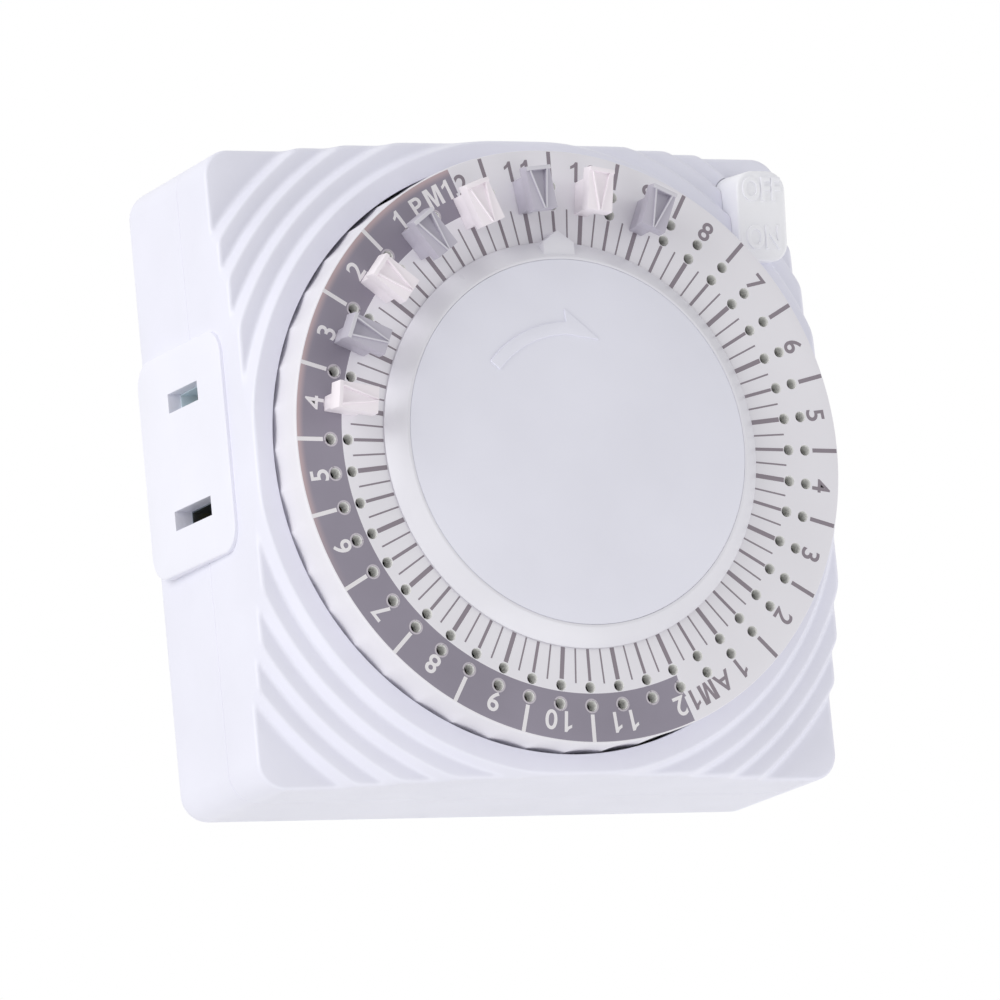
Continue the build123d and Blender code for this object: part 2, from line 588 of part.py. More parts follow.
# ---------------------------------------------------------------- trippers
def tripper():
    """Pull-out tripper, drawn at the top of the dial: prongs, stem, head with the V-shaped finger grip."""
    face = DIAL_DEPTH
    top = face + STEM_H + HEAD_H
    head_side = Polyline(
        (-face - STEM_H, HEAD_INNER_R), (-top, HEAD_INNER_R), (-top, HEAD_OUTER_R),
        (-face - STEM_H, HEAD_OUTER_R + HEAD_BULGE), close=True)
    head = extrude(Plane.YZ * make_face(head_side), HEAD_W / 2, both=True)
    rim_r = HEAD_OUTER_R - HEAD_RIM
    apex_r = HEAD_INNER_R + HEAD_RIM
    notch_half = HEAD_W / 2 - HEAD_RIM
    notch = make_face(Polyline((-notch_half, rim_r), (notch_half, rim_r), (0, apex_r), close=True))
    ramp = make_face(Polyline(
        (-top - HEAD_H, HEAD_INNER_R), (-top, HEAD_INNER_R), (-top + HEAD_RECESS, rim_r),
        (-top - HEAD_H, rim_r), close=True))
    head -= slab(notch, face, top + HEAD_H) & extrude(Plane.YZ * ramp, HEAD_W, both=True)
    for side in (-1, 1):
        facet = make_face(Polyline(
            (side * HEAD_W, rim_r - HEAD_RIM), (side * HEAD_W / 2, rim_r - HEAD_RIM),
            (side * HEAD_CREST, apex_r - HEAD_CREST), (side * HEAD_CREST, HEAD_INNER_R - HEAD_RIM),
            (side * HEAD_W, HEAD_INNER_R - HEAD_RIM), close=True))
        head -= slab(facet, top - HEAD_DISH, top + HEAD_H)
    stem_length = STEM_OUTER_R - STEM_INNER_R
    stem_middle = (STEM_OUTER_R + STEM_INNER_R) / 2
    stem = slab(Pos(0, stem_middle) * Rectangle(STEM_W, stem_length), face, face + STEM_H)
    prongs = [slab(Pos(0, r) * prong_outline(PRONG_D), face - PRONG_L, face)
              for r in (HOLE_INNER_R, HOLE_OUTER_R)]
    return head + stem + prongs


# ---------------------------------------------------------------- rocker
def rocker_ears():
    """Two blocks inside the front cover, beside the rocker, that hold its axle."""
    side = ROCKER_X - ROCKER_W / 2 - ROCKER_GAP
    foot = -ROCKER_PIN_Y - EAR_HALF
    left = box(side - EAR, side, foot, RIM_DEPTH, ROCKER_Z - EAR_HALF, ROCKER_Z + EAR_HALF)
    side = ROCKER_X + ROCKER_W / 2 + ROCKER_GAP
    return left + box(side, INNER, foot, RIM_DEPTH, ROCKER_Z - EAR_HALF, ROCKER_Z + EAR_HALF)


def rocker_axle(grow):
    """Axle along X, through the two ears under the front cover."""
    left = ROCKER_X - ROCKER_W / 2 - ROCKER_GAP - EAR
    middle = (left + INNER) / 2
    return Pos(middle, ROCKER_PIN_Y, ROCKER_Z) * Rot(0, 90, 0) * Cylinder(ROCKER_PIN_R + grow, INNER - left)


def rocker():
    """OFF/ON rocker, rocked so that its upper, OFF end stands out."""
    outline = RectangleRounded(ROCKER_W, ROCKER_L, ROCKER_R)
    body = slab(Pos(ROCKER_X, ROCKER_Z) * outline, ROCKER_SKIRT, ROCKER_TOP)
    body = chamfer(body.faces().sort_by(Axis.Y)[0].edges(), ROCKER_BREAK)
    stem = box(ROCKER_X - ROCKER_STEM, ROCKER_X + ROCKER_STEM, ROCKER_STEM_END, ROCKER_SKIRT,
               ROCKER_Z - ROCKER_STEM / 2, ROCKER_Z + ROCKER_STEM / 2)
    body += stem
    pivot = Axis((0, ROCKER_PIN_Y, ROCKER_Z), (1, 0, 0))
    return (body - rocker_axle(RUN_FIT)).rotate(pivot, ROCKER_TILT)


# ---------------------------------------------------------------- trip lever and contacts
def bar(start, end, width):
    """Bar between two points in the user's view, half its width longer at each end."""
    middle = ((start[0] + end[0]) / 2, (start[1] + end[1]) / 2)
    length = hypot(end[0] - start[0], end[1] - start[1])
    turn = degrees(atan2(end[1] - start[1], end[0] - start[0]))
    return Pos(*middle) * Rot(0, 0, turn) * Rectangle(length + width, width)


def trip_lever():
    """Lever whose finger lies under the prongs at the pointer, and whose peg works the contact leaf."""
    at = (LEVER_X, LEVER_Z)
    lever = slab(bar(at, (0, LEVER_TIP_R), LEVER_ARM), *LEVER_FRONT_LAYER)
    lever += slab(bar(at, (PEG_X, PEG_Z), LEVER_ARM), *LEVER_BACK_LAYER)
    lever += disc(*at, LEVER_HUB_R, LEVER_BACK_LAYER[0], LEVER_FRONT_LAYER[1])
    lever += disc(PEG_X, PEG_Z, PEG_R, PLATE_BACK - LEAF_W - LEAF_INSET, LEVER_BACK_LAYER[0])
    return lever - disc(*at, PIN_R + RUN_FIT, PLATE_FRONT, LEVER_FRONT_LAYER[1])


def switch_block():
    """Insulating block on the mechanism plate that clamps the contact leaves."""
    back = PLATE_BACK - LEAF_W - 2 * LEAF_INSET
    block = box(LEAF_X - BLOCK_END, LEAF_X + BLOCK_L, back, PLATE_BACK, LEAF_Z - LEAF_PITCH - BLOCK_MARGIN,
                LEAF_Z + BLOCK_MARGIN)
    for z in (LEAF_Z, LEAF_Z - LEAF_PITCH):
        block -= contact_leaf(z, MOVING_LEAF)
    return block


def contact_leaf(z, length):
    """Spring leaf clamped at its left end in the switch block."""
    far = PLATE_BACK - LEAF_INSET
    return box(LEAF_X, LEAF_X + length, far - LEAF_W, far, z - LEAF / 2, z + LEAF / 2)


def contact_tips():
    """Silver contacts, one on each leaf, facing each other."""
    middle = PLATE_BACK - LEAF_INSET - LEAF_W / 2
    near, far = middle - TIP_W / 2, middle + TIP_W / 2
    x0, x1 = TIP_X - TIP_W / 2, TIP_X + TIP_W / 2
    upper_foot = LEAF_Z - LEAF / 2
    lower_foot = LEAF_Z - LEAF_PITCH + LEAF / 2
    upper = box(x0, x1, near, far, upper_foot - TIP_H, upper_foot)
    lower = box(x0, x1, near, far, lower_foot, lower_foot + TIP_H)
    return Compound(children=[upper, lower])


def override_leaf():
    """Leaf that the rocker's stem presses; it hangs on the back of the mechanism plate."""
    x0, x1 = ROCKER_X - ROCKER_STEM, ROCKER_X + ROCKER_STEM
    back = PLATE_BACK - OVERRIDE_FOOT
    foot_z = ROCKER_Z - OVERRIDE_REACH
    foot = box(x0, x1, back, PLATE_BACK, foot_z, foot_z + 2 * ROCKER_STEM)
    return foot + box(x0, x1, back, back + LEAF, foot_z, ROCKER_Z + STEM_SLOT)


# ---------------------------------------------------------------- mechanism plate
def mechanism_plate():
    """Moulded plate behind the dial that carries the hub post, the gear train, the motor and the switch."""
    side = BODY_SIDE - 2 * WALL - 2 * PLATE_GAP
    plate = slab(RectangleRounded(side, side, CORNER_R - WALL), PLATE_BACK, PLATE_FRONT)
    for x, z in SCREW_POINTS:
        plate -= boss(x, z, PLATE_GAP, PLATE_BACK, PLATE_FRONT)
    half = PAD_H / 2 + PAD_BLOCK_MARGIN + PLATE_GAP
    bay = -INNER + PAD_BLOCK + PAD_FIT + CONTACT_L + PLATE_GAP
    plate -= box(-HALF, bay, PLATE_BACK, PLATE_FRONT, OUTLET_Z - half, OUTLET_Z + half)
    stem = ROCKER_STEM + STEM_SIDE
    plate -= box(
        ROCKER_X - stem, ROCKER_X + stem, PLATE_BACK, PLATE_FRONT, ROCKER_Z - STEM_SLOT, ROCKER_Z + STEM_SLOT)
    plate -= disc(PEG_X, PEG_Z, PEG_HOLE_R, PLATE_BACK, PLATE_FRONT)
    plate -= disc(*ROTOR_AT, PIN_R + RUN_FIT, PLATE_BACK, PLATE_FRONT)
    pins = ((DRIVE_AT, RING_LAYER[1]), (IDLER_AT, WHEEL_LAYER[1]), ((LEVER_X, LEVER_Z), LEVER_FRONT_LAYER[1]))
    for at, end in pins:
        plate += disc(*at, PIN_R, PLATE_FRONT, end + PIN_HEAD)
    return plate


# ---------------------------------------------------------------- motor
def motor_case():
    """Steel cup of the synchronous motor, open toward the mechanism plate."""
    back = PLATE_BACK - CASE_L
    case = disc(*ROTOR_AT, CASE_R, back, PLATE_BACK)
    case -= disc(*ROTOR_AT, CASE_R - CASE_WALL, back + CASE_WALL, PLATE_BACK)
    return case - disc(*ROTOR_AT, PIN_R + RUN_FIT, back, back + CASE_WALL)


def motor_coil():
    start = PLATE_BACK - CASE_L / 2 - COIL_L / 2
    winding = disc(*ROTOR_AT, COIL_R, start, start + COIL_L)
    return winding - disc(*ROTOR_AT, COIL_INNER_R, start, start + COIL_L)


def motor_bobbin():
    """Tube that the coil is wound on, held between the case and the mechanism plate."""
    start = PLATE_BACK - CASE_L + CASE_WALL
    tube = disc(*ROTOR_AT, COIL_INNER_R, start, PLATE_BACK)
    return tube - disc(*ROTOR_AT, COIL_INNER_R - BOBBIN_WALL, start, PLATE_BACK)


# ---------------------------------------------------------------- everything
os.makedirs("parts", exist_ok=True)
save(front_cover(), "front_cover")
save(rear_cover(), "rear_cover")
save(outlet_plate(), "outlet_plate")
save(outlet_contact(LIVE_Z), "outlet_contact_live")
save(outlet_contact(NEUTRAL_Z), "outlet_contact_neutral")
for blade_name, place in zip(("live_blade", "neutral_blade"), blade_places()):
    save(plug_blade(*place), blade_name)
save(housing_screws(), "housing_screws")
save(mechanism_plate(), "mechanism_plate")
save(time_dial(), "time_dial")
save(hub_post(), "hub_post")
save(hub_ring(), "hub_ring")
save(hub_cap(), "hub_cap")
for label, hour in TRIPPER_HOURS.items():
    save(tripper().rotate(Axis.Y, hour_angle(hour)), "tripper_" + label)
save(drive_gear(), "drive_gear")
save(idler_gear(), "idler_gear")
save(motor_rotor(), "motor_rotor")
save(motor_case(), "motor_case")
save(motor_coil(), "motor_coil")
save(motor_bobbin(), "motor_bobbin")
save(rocker(), "rocker")
save(rocker_axle(0), "rocker_pin")
save(trip_lever(), "trip_lever")
save(switch_block(), "switch_block")
save(contact_leaf(LEAF_Z, MOVING_LEAF), "contact_spring")
save(contact_leaf(LEAF_Z - LEAF_PITCH, FIXED_LEAF), "fixed_contact")
save(contact_tips(), "contact_tips")
save(override_leaf(), "override_leaf")
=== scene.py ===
from math import atan2, copysign, cos, degrees, pi, radians, sin, sqrt

import bmesh
import bpy
from mathutils import Matrix, Vector
from mathutils.geometry import delaunay_2d_cdt


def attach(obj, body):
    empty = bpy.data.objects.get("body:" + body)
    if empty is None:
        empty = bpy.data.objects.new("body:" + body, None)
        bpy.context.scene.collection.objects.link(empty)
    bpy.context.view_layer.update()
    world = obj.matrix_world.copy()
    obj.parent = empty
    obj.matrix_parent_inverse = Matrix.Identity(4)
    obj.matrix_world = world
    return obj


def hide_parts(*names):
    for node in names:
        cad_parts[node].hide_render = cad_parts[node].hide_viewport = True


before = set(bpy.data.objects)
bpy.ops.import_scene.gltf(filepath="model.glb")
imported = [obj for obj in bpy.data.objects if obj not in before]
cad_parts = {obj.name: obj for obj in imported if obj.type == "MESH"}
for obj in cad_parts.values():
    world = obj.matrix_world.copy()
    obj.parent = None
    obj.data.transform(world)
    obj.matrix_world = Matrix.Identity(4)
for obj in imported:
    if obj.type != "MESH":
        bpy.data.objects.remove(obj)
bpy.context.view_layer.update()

# ---- Camera, floor and studio light ----
# A long lens stands to the left of the timer and a little below it, so that the dial, the outlet wall
# and the underside all show.  Broad soft light comes from the left, with weaker lamps below and on the right.
CAMERA_AT = (-0.41683, -0.82958, -0.17353)
AZIMUTH, ELEVATION, ROLL = radians(27.12), radians(-10.61), radians(-5.52)
LENS = 309.5
FLOOR_Z = -0.0347
SKY = 0.58
LAMPS = (
    ("lamp_left", (-1.05, -0.25, 0.32), 1.0, 6.6),
    ("lamp_below", (0.1, -0.3, -0.95), 0.9, 3.4),
    ("lamp_right", (1.1, -0.5, 0.0), 0.8, 2.0),
)

forward = Vector((sin(AZIMUTH) * cos(ELEVATION), cos(AZIMUTH) * cos(ELEVATION), -sin(ELEVATION)))
right = forward.cross(Vector((0, 0, 1))).normalized()
axes = Matrix((right, right.cross(forward), -forward)).transposed().to_4x4()
lens = bpy.data.cameras.new("camera")
lens.lens = LENS
lens.sensor_width = 36
lens.clip_start = 0.05
lens.clip_end = 20
camera = bpy.data.objects.new("camera", lens)
bpy.context.collection.objects.link(camera)
camera.matrix_world = Matrix.Translation(CAMERA_AT) @ axes @ Matrix.Rotation(ROLL, 4, "Z")
bpy.context.scene.camera = camera
bpy.context.scene.view_settings.view_transform = "Standard"

for name, spot, size, power in LAMPS:
    light = bpy.data.lights.new(name, "AREA")
    light.shape = "DISK"
    light.size = size
    light.energy = power
    lamp = bpy.data.objects.new(name, light)
    bpy.context.collection.objects.link(lamp)
    lamp.matrix_world = Matrix.Translation(spot) @ Vector(spot).to_track_quat("Z", "Y").to_matrix().to_4x4()
    lamp.visible_camera = False

world = bpy.data.worlds.new("studio")
bpy.context.scene.world = world
world.use_nodes = True
sky_nodes, sky_links = world.node_tree.nodes, world.node_tree.links
rays = sky_nodes.new("ShaderNodeLightPath")
seen = sky_nodes.new("ShaderNodeMath")
seen.operation = "MAXIMUM"
through = sky_nodes.new("ShaderNodeMath")
through.operation = "MAXIMUM"
sky_links.new(rays.outputs["Is Camera Ray"], seen.inputs[0])
sky_links.new(rays.outputs["Is Glossy Ray"], seen.inputs[1])
sky_links.new(seen.outputs[0], through.inputs[0])
sky_links.new(rays.outputs["Is Transmission Ray"], through.inputs[1])
strength = sky_nodes.new("ShaderNodeMapRange")
strength.inputs["To Min"].default_value = SKY
strength.inputs["To Max"].default_value = 1.0
sky_links.new(through.outputs[0], strength.inputs["Value"])
sky_nodes["Background"].inputs["Color"].default_value = (1, 1, 1, 1)
sky_links.new(strength.outputs[0], sky_nodes["Background"].inputs["Strength"])

bpy.ops.object.select_all(action="DESELECT")
bpy.ops.mesh.primitive_plane_add(size=6, location=(0, 0, FLOOR_Z))
floor = bpy.context.object
floor.name = "floor"
floor.visible_diffuse = False
floor.visible_glossy = False
floor.visible_shadow = False
paint = bpy.data.materials.new("floor_paint")
paint.use_nodes = True
paint_nodes, paint_links = paint.node_tree.nodes, paint.node_tree.links
paint_nodes["Principled BSDF"].inputs["Base Color"].default_value = (0.93, 0.93, 0.93, 1)
paint_nodes["Principled BSDF"].inputs["Roughness"].default_value = 0.9
clear = paint_nodes.new("ShaderNodeBsdfTransparent")
side = paint_nodes.new("ShaderNodeNewGeometry")
mix = paint_nodes.new("ShaderNodeMixShader")
paint_links.new(side.outputs["Backfacing"], mix.inputs["Fac"])
paint_links.new(paint_nodes["Principled BSDF"].outputs[0], mix.inputs[1])
paint_links.new(clear.outputs[0], mix.inputs[2])
paint_links.new(mix.outputs[0], paint_nodes["Material Output"].inputs["Surface"])
floor.data.materials.append(paint)

# ---- Front cover ----
# Moulded shell of glossy off-white thermoplastic.  Four rounded terraces step down from the flat ring round
# the dial to the corners of the square; the rocker stands in its upper right corner.
MM = 0.001
HALF = 34.7
CORNER_R = 3.0
WALL = 1.8
PARTING = 14.6
PARTING_GAP = 0.04
PARTING_BREAK = 0.05
RIM = 28.3
WELL_R = 32.5
WELL_END = 18.8
STEPS = 4
FIRST_FOOT = 35.45
STEP_PITCH = 2.45
STEP_HEIGHT = 1.55
RISER = 0.6
BULGE = 0.06
CREST_ROUND = 0.26
FOOT_ROUND = 0.42
EDGE_ROUND = 0.5
ROCKER_X, ROCKER_Z = 28.8, 27.0
ROCKER_W, ROCKER_L, ROCKER_R = 6.0, 10.0, 2.1
ROCKER_GAP, ROCKER_END_GAP = 0.04, 0.2
PAD_Y, PAD_Z, PAD_W, PAD_H = -12.73, 3.2, 19.65, 24.0
NECK_INSET = 0.8


def paint_of(r, g, b):
    """Colour of a surface, given as it looks on a screen."""
    return tuple(((c / 255 + 0.055) / 1.055) ** 2.4 for c in (r, g, b)) + (1.0,)


def noise(nodes, links, coords, scale, detail=2.0):
    texture = nodes.new("ShaderNodeTexNoise")
    texture.inputs["Scale"].default_value = scale
    texture.inputs["Detail"].default_value = detail
    links.new(coords.outputs["Object"], texture.inputs["Vector"])
    return texture


def moulded_plastic(name, colour, rough=0.38, cloud=0.02, grain=0.006, grain_scale=2600.0):
    """Moulded plastic: faint flow clouds in the colour, fine tool texture and a slightly uneven gloss."""
    finish = bpy.data.materials.new(name)
    finish.use_nodes = True
    nodes, links = finish.node_tree.nodes, finish.node_tree.links
    surface = nodes["Principled BSDF"]
    coords = nodes.new("ShaderNodeTexCoord")
    flow = noise(nodes, links, coords, 90.0, 3.0)
    tint = nodes.new("ShaderNodeValToRGB")
    base = paint_of(*colour)
    tint.color_ramp.elements[0].position = 0.3
    tint.color_ramp.elements[1].position = 0.7
    tint.color_ramp.elements[0].color = tuple(c * (1 - cloud) for c in base[:3]) + (1,)
    tint.color_ramp.elements[1].color = tuple(min(c * (1 + cloud), 1) for c in base[:3]) + (1,)
    links.new(flow.outputs["Fac"], tint.inputs["Fac"])
    links.new(tint.outputs["Color"], surface.inputs["Base Color"])
    sheen = nodes.new("ShaderNodeMapRange")
    sheen.inputs["To Min"].default_value = rough - 0.05
    sheen.inputs["To Max"].default_value = rough + 0.05
    links.new(noise(nodes, links, coords, 420.0).outputs["Fac"], sheen.inputs["Value"])
    links.new(sheen.outputs[0], surface.inputs["Roughness"])
    relief = nodes.new("ShaderNodeBump")
    relief.inputs["Strength"].default_value = 0.25
    relief.inputs["Distance"].default_value = grain * MM
    links.new(noise(nodes, links, coords, grain_scale, 4.0).outputs["Fac"], relief.inputs["Height"])
    links.new(relief.outputs[0], surface.inputs["Normal"])
    return finish


housing_white = moulded_plastic("housing_white_plastic", (237, 237, 249))


def outline_radius(angle, inset):
    """From the dial's axis to the rounded square outline, drawn in by `inset`."""
    half, corner = HALF - inset, max(CORNER_R - inset, 0.05)
    across, along = abs(cos(angle)), abs(sin(angle))
    flat = half / max(across, along)
    if flat * min(across, along) <= half - corner:
        return flat
    centre = half - corner
    middle = centre * (across + along)
    return middle + sqrt(max(middle * middle - 2 * centre * centre + corner * corner, 0))


def rounded(before, corner, after, reach, steps):
    """Points that round a profile's corner off, `reach` along both of its sides."""
    corner = Vector(corner)
    start = corner + (Vector(before) - corner).normalized() * reach
    end = corner + (Vector(after) - corner).normalized() * reach
    share = [k / steps for k in range(steps + 1)]
    return [start * (1 - t) ** 2 + corner * 2 * t * (1 - t) + end * t * t for t in share]


def stepped_profile():
    """(radius, depth) points over the flat ring and down the terraces."""
    points = [Vector((WELL_R, RIM - 0.15)), Vector((WELL_R + 0.04, RIM - 0.04)), Vector((WELL_R + 0.15, RIM))]
    top = RIM
    for k in range(STEPS):
        foot_r = FIRST_FOOT + k * STEP_PITCH
        crest = (foot_r - RISER, top)
        foot = (foot_r, top - STEP_HEIGHT)
        crown = BULGE if k < STEPS - 1 else 0
        end_r = foot_r + STEP_PITCH - RISER
        tread = [
            (foot_r + (end_r - foot_r) * t, foot[1] + crown * (1 - (2 * t - 1) ** 2))
            for t in (0.3, 0.4, 0.5, 0.65, 0.8)]
        points += rounded(points[-1], crest, foot, CREST_ROUND, 5)
        points += rounded(crest, foot, tread[0], FOOT_ROUND, 4)
        points += [Vector(p) for p in tread]
        top = foot[1]
    return points + [Vector((HALF * 1.5, top))]


def depth_at(profile, radius):
    for low, high in zip(profile, profile[1:]):
        if radius <= high.x:
            return low.y + (high.y - low.y) * (radius - low.x) / max(high.x - low.x, 1e-9)
    return profile[-1].y


def mesh_piece(name, points, faces):
    """Object with the given points, in millimetres of the row frame, and faces that point outward."""
    mesh = bpy.data.meshes.new(name)
    mesh.from_pydata([Vector(p) * MM for p in points], [], faces)
    form = bmesh.new()
    form.from_mesh(mesh)
    bmesh.ops.remove_doubles(form, verts=form.verts, dist=2e-7)
    bmesh.ops.recalc_face_normals(form, faces=form.faces)
    form.to_mesh(mesh)
    form.free()
    piece = bpy.data.objects.new(name, mesh)
    bpy.context.collection.objects.link(piece)
    return piece


def ring_mesh(name, rings):
    """Closed loft through rings of equal length; the last ring joins the first again."""
    count = len(rings[0])
    points = [p for ring in rings for p in ring]
    faces = []
    for j in range(len(rings)):
        here, there = j * count, ((j + 1) % len(rings)) * count
        for i in range(count):
            n = (i + 1) % count
            faces.append((here + i, here + n, there + n, there + i))
    return mesh_piece(name, points, faces)


def pick(piece):
    bpy.ops.object.select_all(action="DESELECT")
    piece.select_set(True)
    bpy.context.view_layer.objects.active = piece


def work(piece, kind, chosen, operator, **settings):
    """Runs one edit-mode operator on the vertices, edges or faces that `chosen` accepts."""
    pick(piece)
    bpy.ops.object.mode_set(mode="EDIT")
    bpy.ops.mesh.select_mode(type=kind)
    bpy.ops.mesh.select_all(action="DESELECT")
    form = bmesh.from_edit_mesh(piece.data)
    for item in {"VERT": form.verts, "EDGE": form.edges, "FACE": form.faces}[kind]:
        if chosen(item):
            item.select_set(True)
    form.select_flush_mode()
    bmesh.update_edit_mesh(piece.data)
    operator(**settings)
    bpy.ops.object.mode_set(mode="OBJECT")


def block(name, low, high, round_along=None, radius=0.0, segments=10):
    """Block between two corners in millimetres, with the four edges along one axis rounded."""
    bpy.ops.object.select_all(action="DESELECT")
    bpy.ops.mesh.primitive_cube_add(size=1)
    piece = bpy.context.object
    piece.name = piece.data.name = name
    low, high = Vector(low) * MM, Vector(high) * MM
    size = high - low
    piece.data.transform(Matrix.Translation((low + high) / 2) @ Matrix.Diagonal((*size, 1)))
    if round_along is not None:
        def upright(edge):
            run = edge.verts[0].co - edge.verts[1].co
            return abs(run[round_along]) > 0.99 * run.length
        work(piece, "EDGE", upright, bpy.ops.mesh.bevel, offset=radius * MM, segments=segments, affect="EDGES",
             clamp_overlap=False)
    return piece


def rod(name, centre, radius, length, axis, sides=48):
    """Cylinder along X (0), Y (1) or Z (2), in millimetres."""
    bpy.ops.object.select_all(action="DESELECT")
    bpy.ops.mesh.primitive_cylinder_add(vertices=sides, radius=radius * MM, depth=length * MM)
    piece = bpy.context.object
    piece.name = piece.data.name = name
    turn = {0: Matrix.Rotation(pi / 2, 4, "Y"), 1: Matrix.Rotation(pi / 2, 4, "X"), 2: Matrix.Identity(4)}[axis]
    piece.data.transform(Matrix.Translation(Vector(centre) * MM) @ turn)
    return piece


def combine(piece, tool, operation="DIFFERENCE"):
    """Cuts the tool from the piece, or joins it to the piece as one solid."""
    boolean = piece.modifiers.new("solid", "BOOLEAN")
    boolean.operation = operation
    boolean.solver = "EXACT"
    boolean.object = tool
    pick(piece)
    bpy.ops.object.modifier_apply(modifier=boolean.name)
    bpy.data.objects.remove(tool)


def soften(piece, width, angle=35.0, segments=2):
    """Small round on every sharp edge."""
    bevel = piece.modifiers.new("soften", "BEVEL")
    bevel.width = width * MM
    bevel.segments = segments
    bevel.limit_method = "ANGLE"
    bevel.angle_limit = radians(angle)
    bevel.use_clamp_overlap = True
    pick(piece)
    bpy.ops.object.modifier_apply(modifier=bevel.name)


def dress(piece, finish, body, angle=30.0, replaces=()):
    """Finish, smooth shading, the body that carries the piece and the nodes it stands for."""
    if finish is not None:
        piece.data.materials.clear()
        piece.data.materials.append(finish)
    pick(piece)
    bpy.ops.object.shade_smooth_by_angle(angle=radians(angle))
    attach(piece, body)
    if replaces:
        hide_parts(*replaces)
    return piece


rays_at = []
for k in range(720):
    rays_at.append(radians(k / 2))
    if 30 <= (k / 2) % 90 < 60:
        rays_at.append(radians(k / 2 + 0.25))
profile = stepped_profile()
edge = [(EDGE_ROUND * (1 - sin(t)), EDGE_ROUND * (1 - cos(t))) for t in [radians(15 * k) for k in range(1, 7)]]


def cover_rings():
    rings = [[(WELL_R, WELL_END)] * len(rays_at)]
    for p in profile[:-1]:
        ring = []
        for a in rays_at:
            r = min(p.x, outline_radius(a, EDGE_ROUND))
            ring.append((r, depth_at(profile, r) if r < p.x else p.y))
        rings.append(ring)
    for inset, drop in edge:
        radii = [outline_radius(a, inset) for a in rays_at]
        rings.append([(r, depth_at(profile, r) - drop) for r in radii])
    foot = PARTING + PARTING_GAP
    for inset, depth in ((0, foot + PARTING_BREAK), (PARTING_BREAK, foot), (WALL, foot), (WALL, WELL_END)):
        rings.append([(outline_radius(a, inset), depth) for a in rays_at])
    return [[(r * cos(a), -d, r * sin(a)) for (r, d), a in zip(ring, rays_at)] for ring in rings]


front_cover = ring_mesh("front_shell", cover_rings())
opening_w, opening_l = ROCKER_W / 2 + ROCKER_GAP, ROCKER_L / 2 + ROCKER_END_GAP
combine(front_cover, block(
    "rocker_opening", (ROCKER_X - opening_w, -RIM - 1, ROCKER_Z - opening_l),
    (ROCKER_X + opening_w, -WELL_END + 1, ROCKER_Z + opening_l), 1, ROCKER_R + ROCKER_GAP, 10))


def neck_tool():
    """Opening in the left wall, shared by both covers, for the outlet plate's neck."""
    half_w, half_h = PAD_W / 2 - NECK_INSET, PAD_H / 2 - NECK_INSET
    return block("neck_opening", (-HALF - 1, PAD_Y - half_w, PAD_Z - half_h),
                 (-HALF + WALL + 1, PAD_Y + half_w, PAD_Z + half_h), 0, 2.0, 6)


combine(front_cover, neck_tool())
dress(front_cover, housing_white, "housing", 30, ["front_cover"])

# ---- Rear cover ----
# Shallow moulded tray of the same plastic, with large rounds at the back.  It meets the front cover in a fine
# open line, and carries the two blade slots and the counterbores of its screws.
BACK_R = 2.6
BACK_WALL = 2.2
SCREWS = ((-28.2, 28.2), (28.2, -28.2))
SCREW_HEAD_R, SCREW_HEAD, SCREW_SUNK, SCREW_R = 2.5, 1.8, 1.0, 1.3
BOSS_REACH = 3.5
BLADES = (("live_blade", 6.35, 6.35), ("neutral_blade", -6.35, 7.94))
BLADE_T, BLADE_Z = 1.5, 10.0

lip = PARTING - PARTING_GAP
rear_cover = block("rear_shell", (-HALF, -lip, -HALF), (HALF, 0, HALF), 1, CORNER_R, 12)
work(rear_cover, "EDGE", lambda e: all(abs(v.co.y) < 1e-6 for v in e.verts), bpy.ops.mesh.bevel,
     offset=BACK_R * MM, segments=9, affect="EDGES", clamp_overlap=False)
work(rear_cover, "EDGE", lambda e: all(abs(v.co.y + lip * MM) < 1e-6 for v in e.verts), bpy.ops.mesh.bevel,
     offset=PARTING_BREAK * MM, segments=1, affect="EDGES", clamp_overlap=False)
inner = HALF - WALL
combine(rear_cover, block("tray", (-inner, -PARTING - 1, -inner), (inner, -BACK_WALL, inner), 1, CORNER_R - WALL, 6))
for x, z in SCREWS:
    side_x, side_z = copysign(1, x), copysign(1, z)
    xs = sorted((x - side_x * BOSS_REACH, side_x * (HALF - 1)))
    zs = sorted((z - side_z * BOSS_REACH, side_z * (HALF - 1)))
    combine(rear_cover, block("screw_boss", (xs[0], -lip + 0.1, zs[0]), (xs[1], -BACK_WALL + 0.5, zs[1]), 1, 1.8, 6),
            "UNION")
    combine(rear_cover, rod("screw_way", (x, -8, z), SCREW_R + 0.2, 20, 1, 32))
    combine(rear_cover, rod("screw_seat", (x, -(SCREW_HEAD + SCREW_SUNK) / 2 + 0.5, z), SCREW_HEAD_R + 0.2,
                            SCREW_HEAD + SCREW_SUNK + 1, 1, 48))
for name, x, width in BLADES:
    combine(rear_cover, block("blade_slot", (x - BLADE_T / 2 - 0.1, -BACK_WALL - 1, BLADE_Z - width / 2 - 0.1),
                              (x + BLADE_T / 2 + 0.1, 1, BLADE_Z + width / 2 + 0.1)))
combine(rear_cover, neck_tool())
dress(rear_cover, housing_white, "housing", 30, ["rear_cover"])

# ---- Outlet plate ----
# Separate white moulding trapped between the covers in the left wall.  Its pad stands a little proud,
# with softly rounded edges and two slots for the plug that is switched.
PAD_R = 2.8
PAD_PROUD = 1.3
PAD_FRONT_PROUD = 0.45
OUTLET_Y = -13.45
OUTLET_SLOTS = ((9.55, 6.35), (-3.15, 7.94))
SLOT_GAP = 0.3

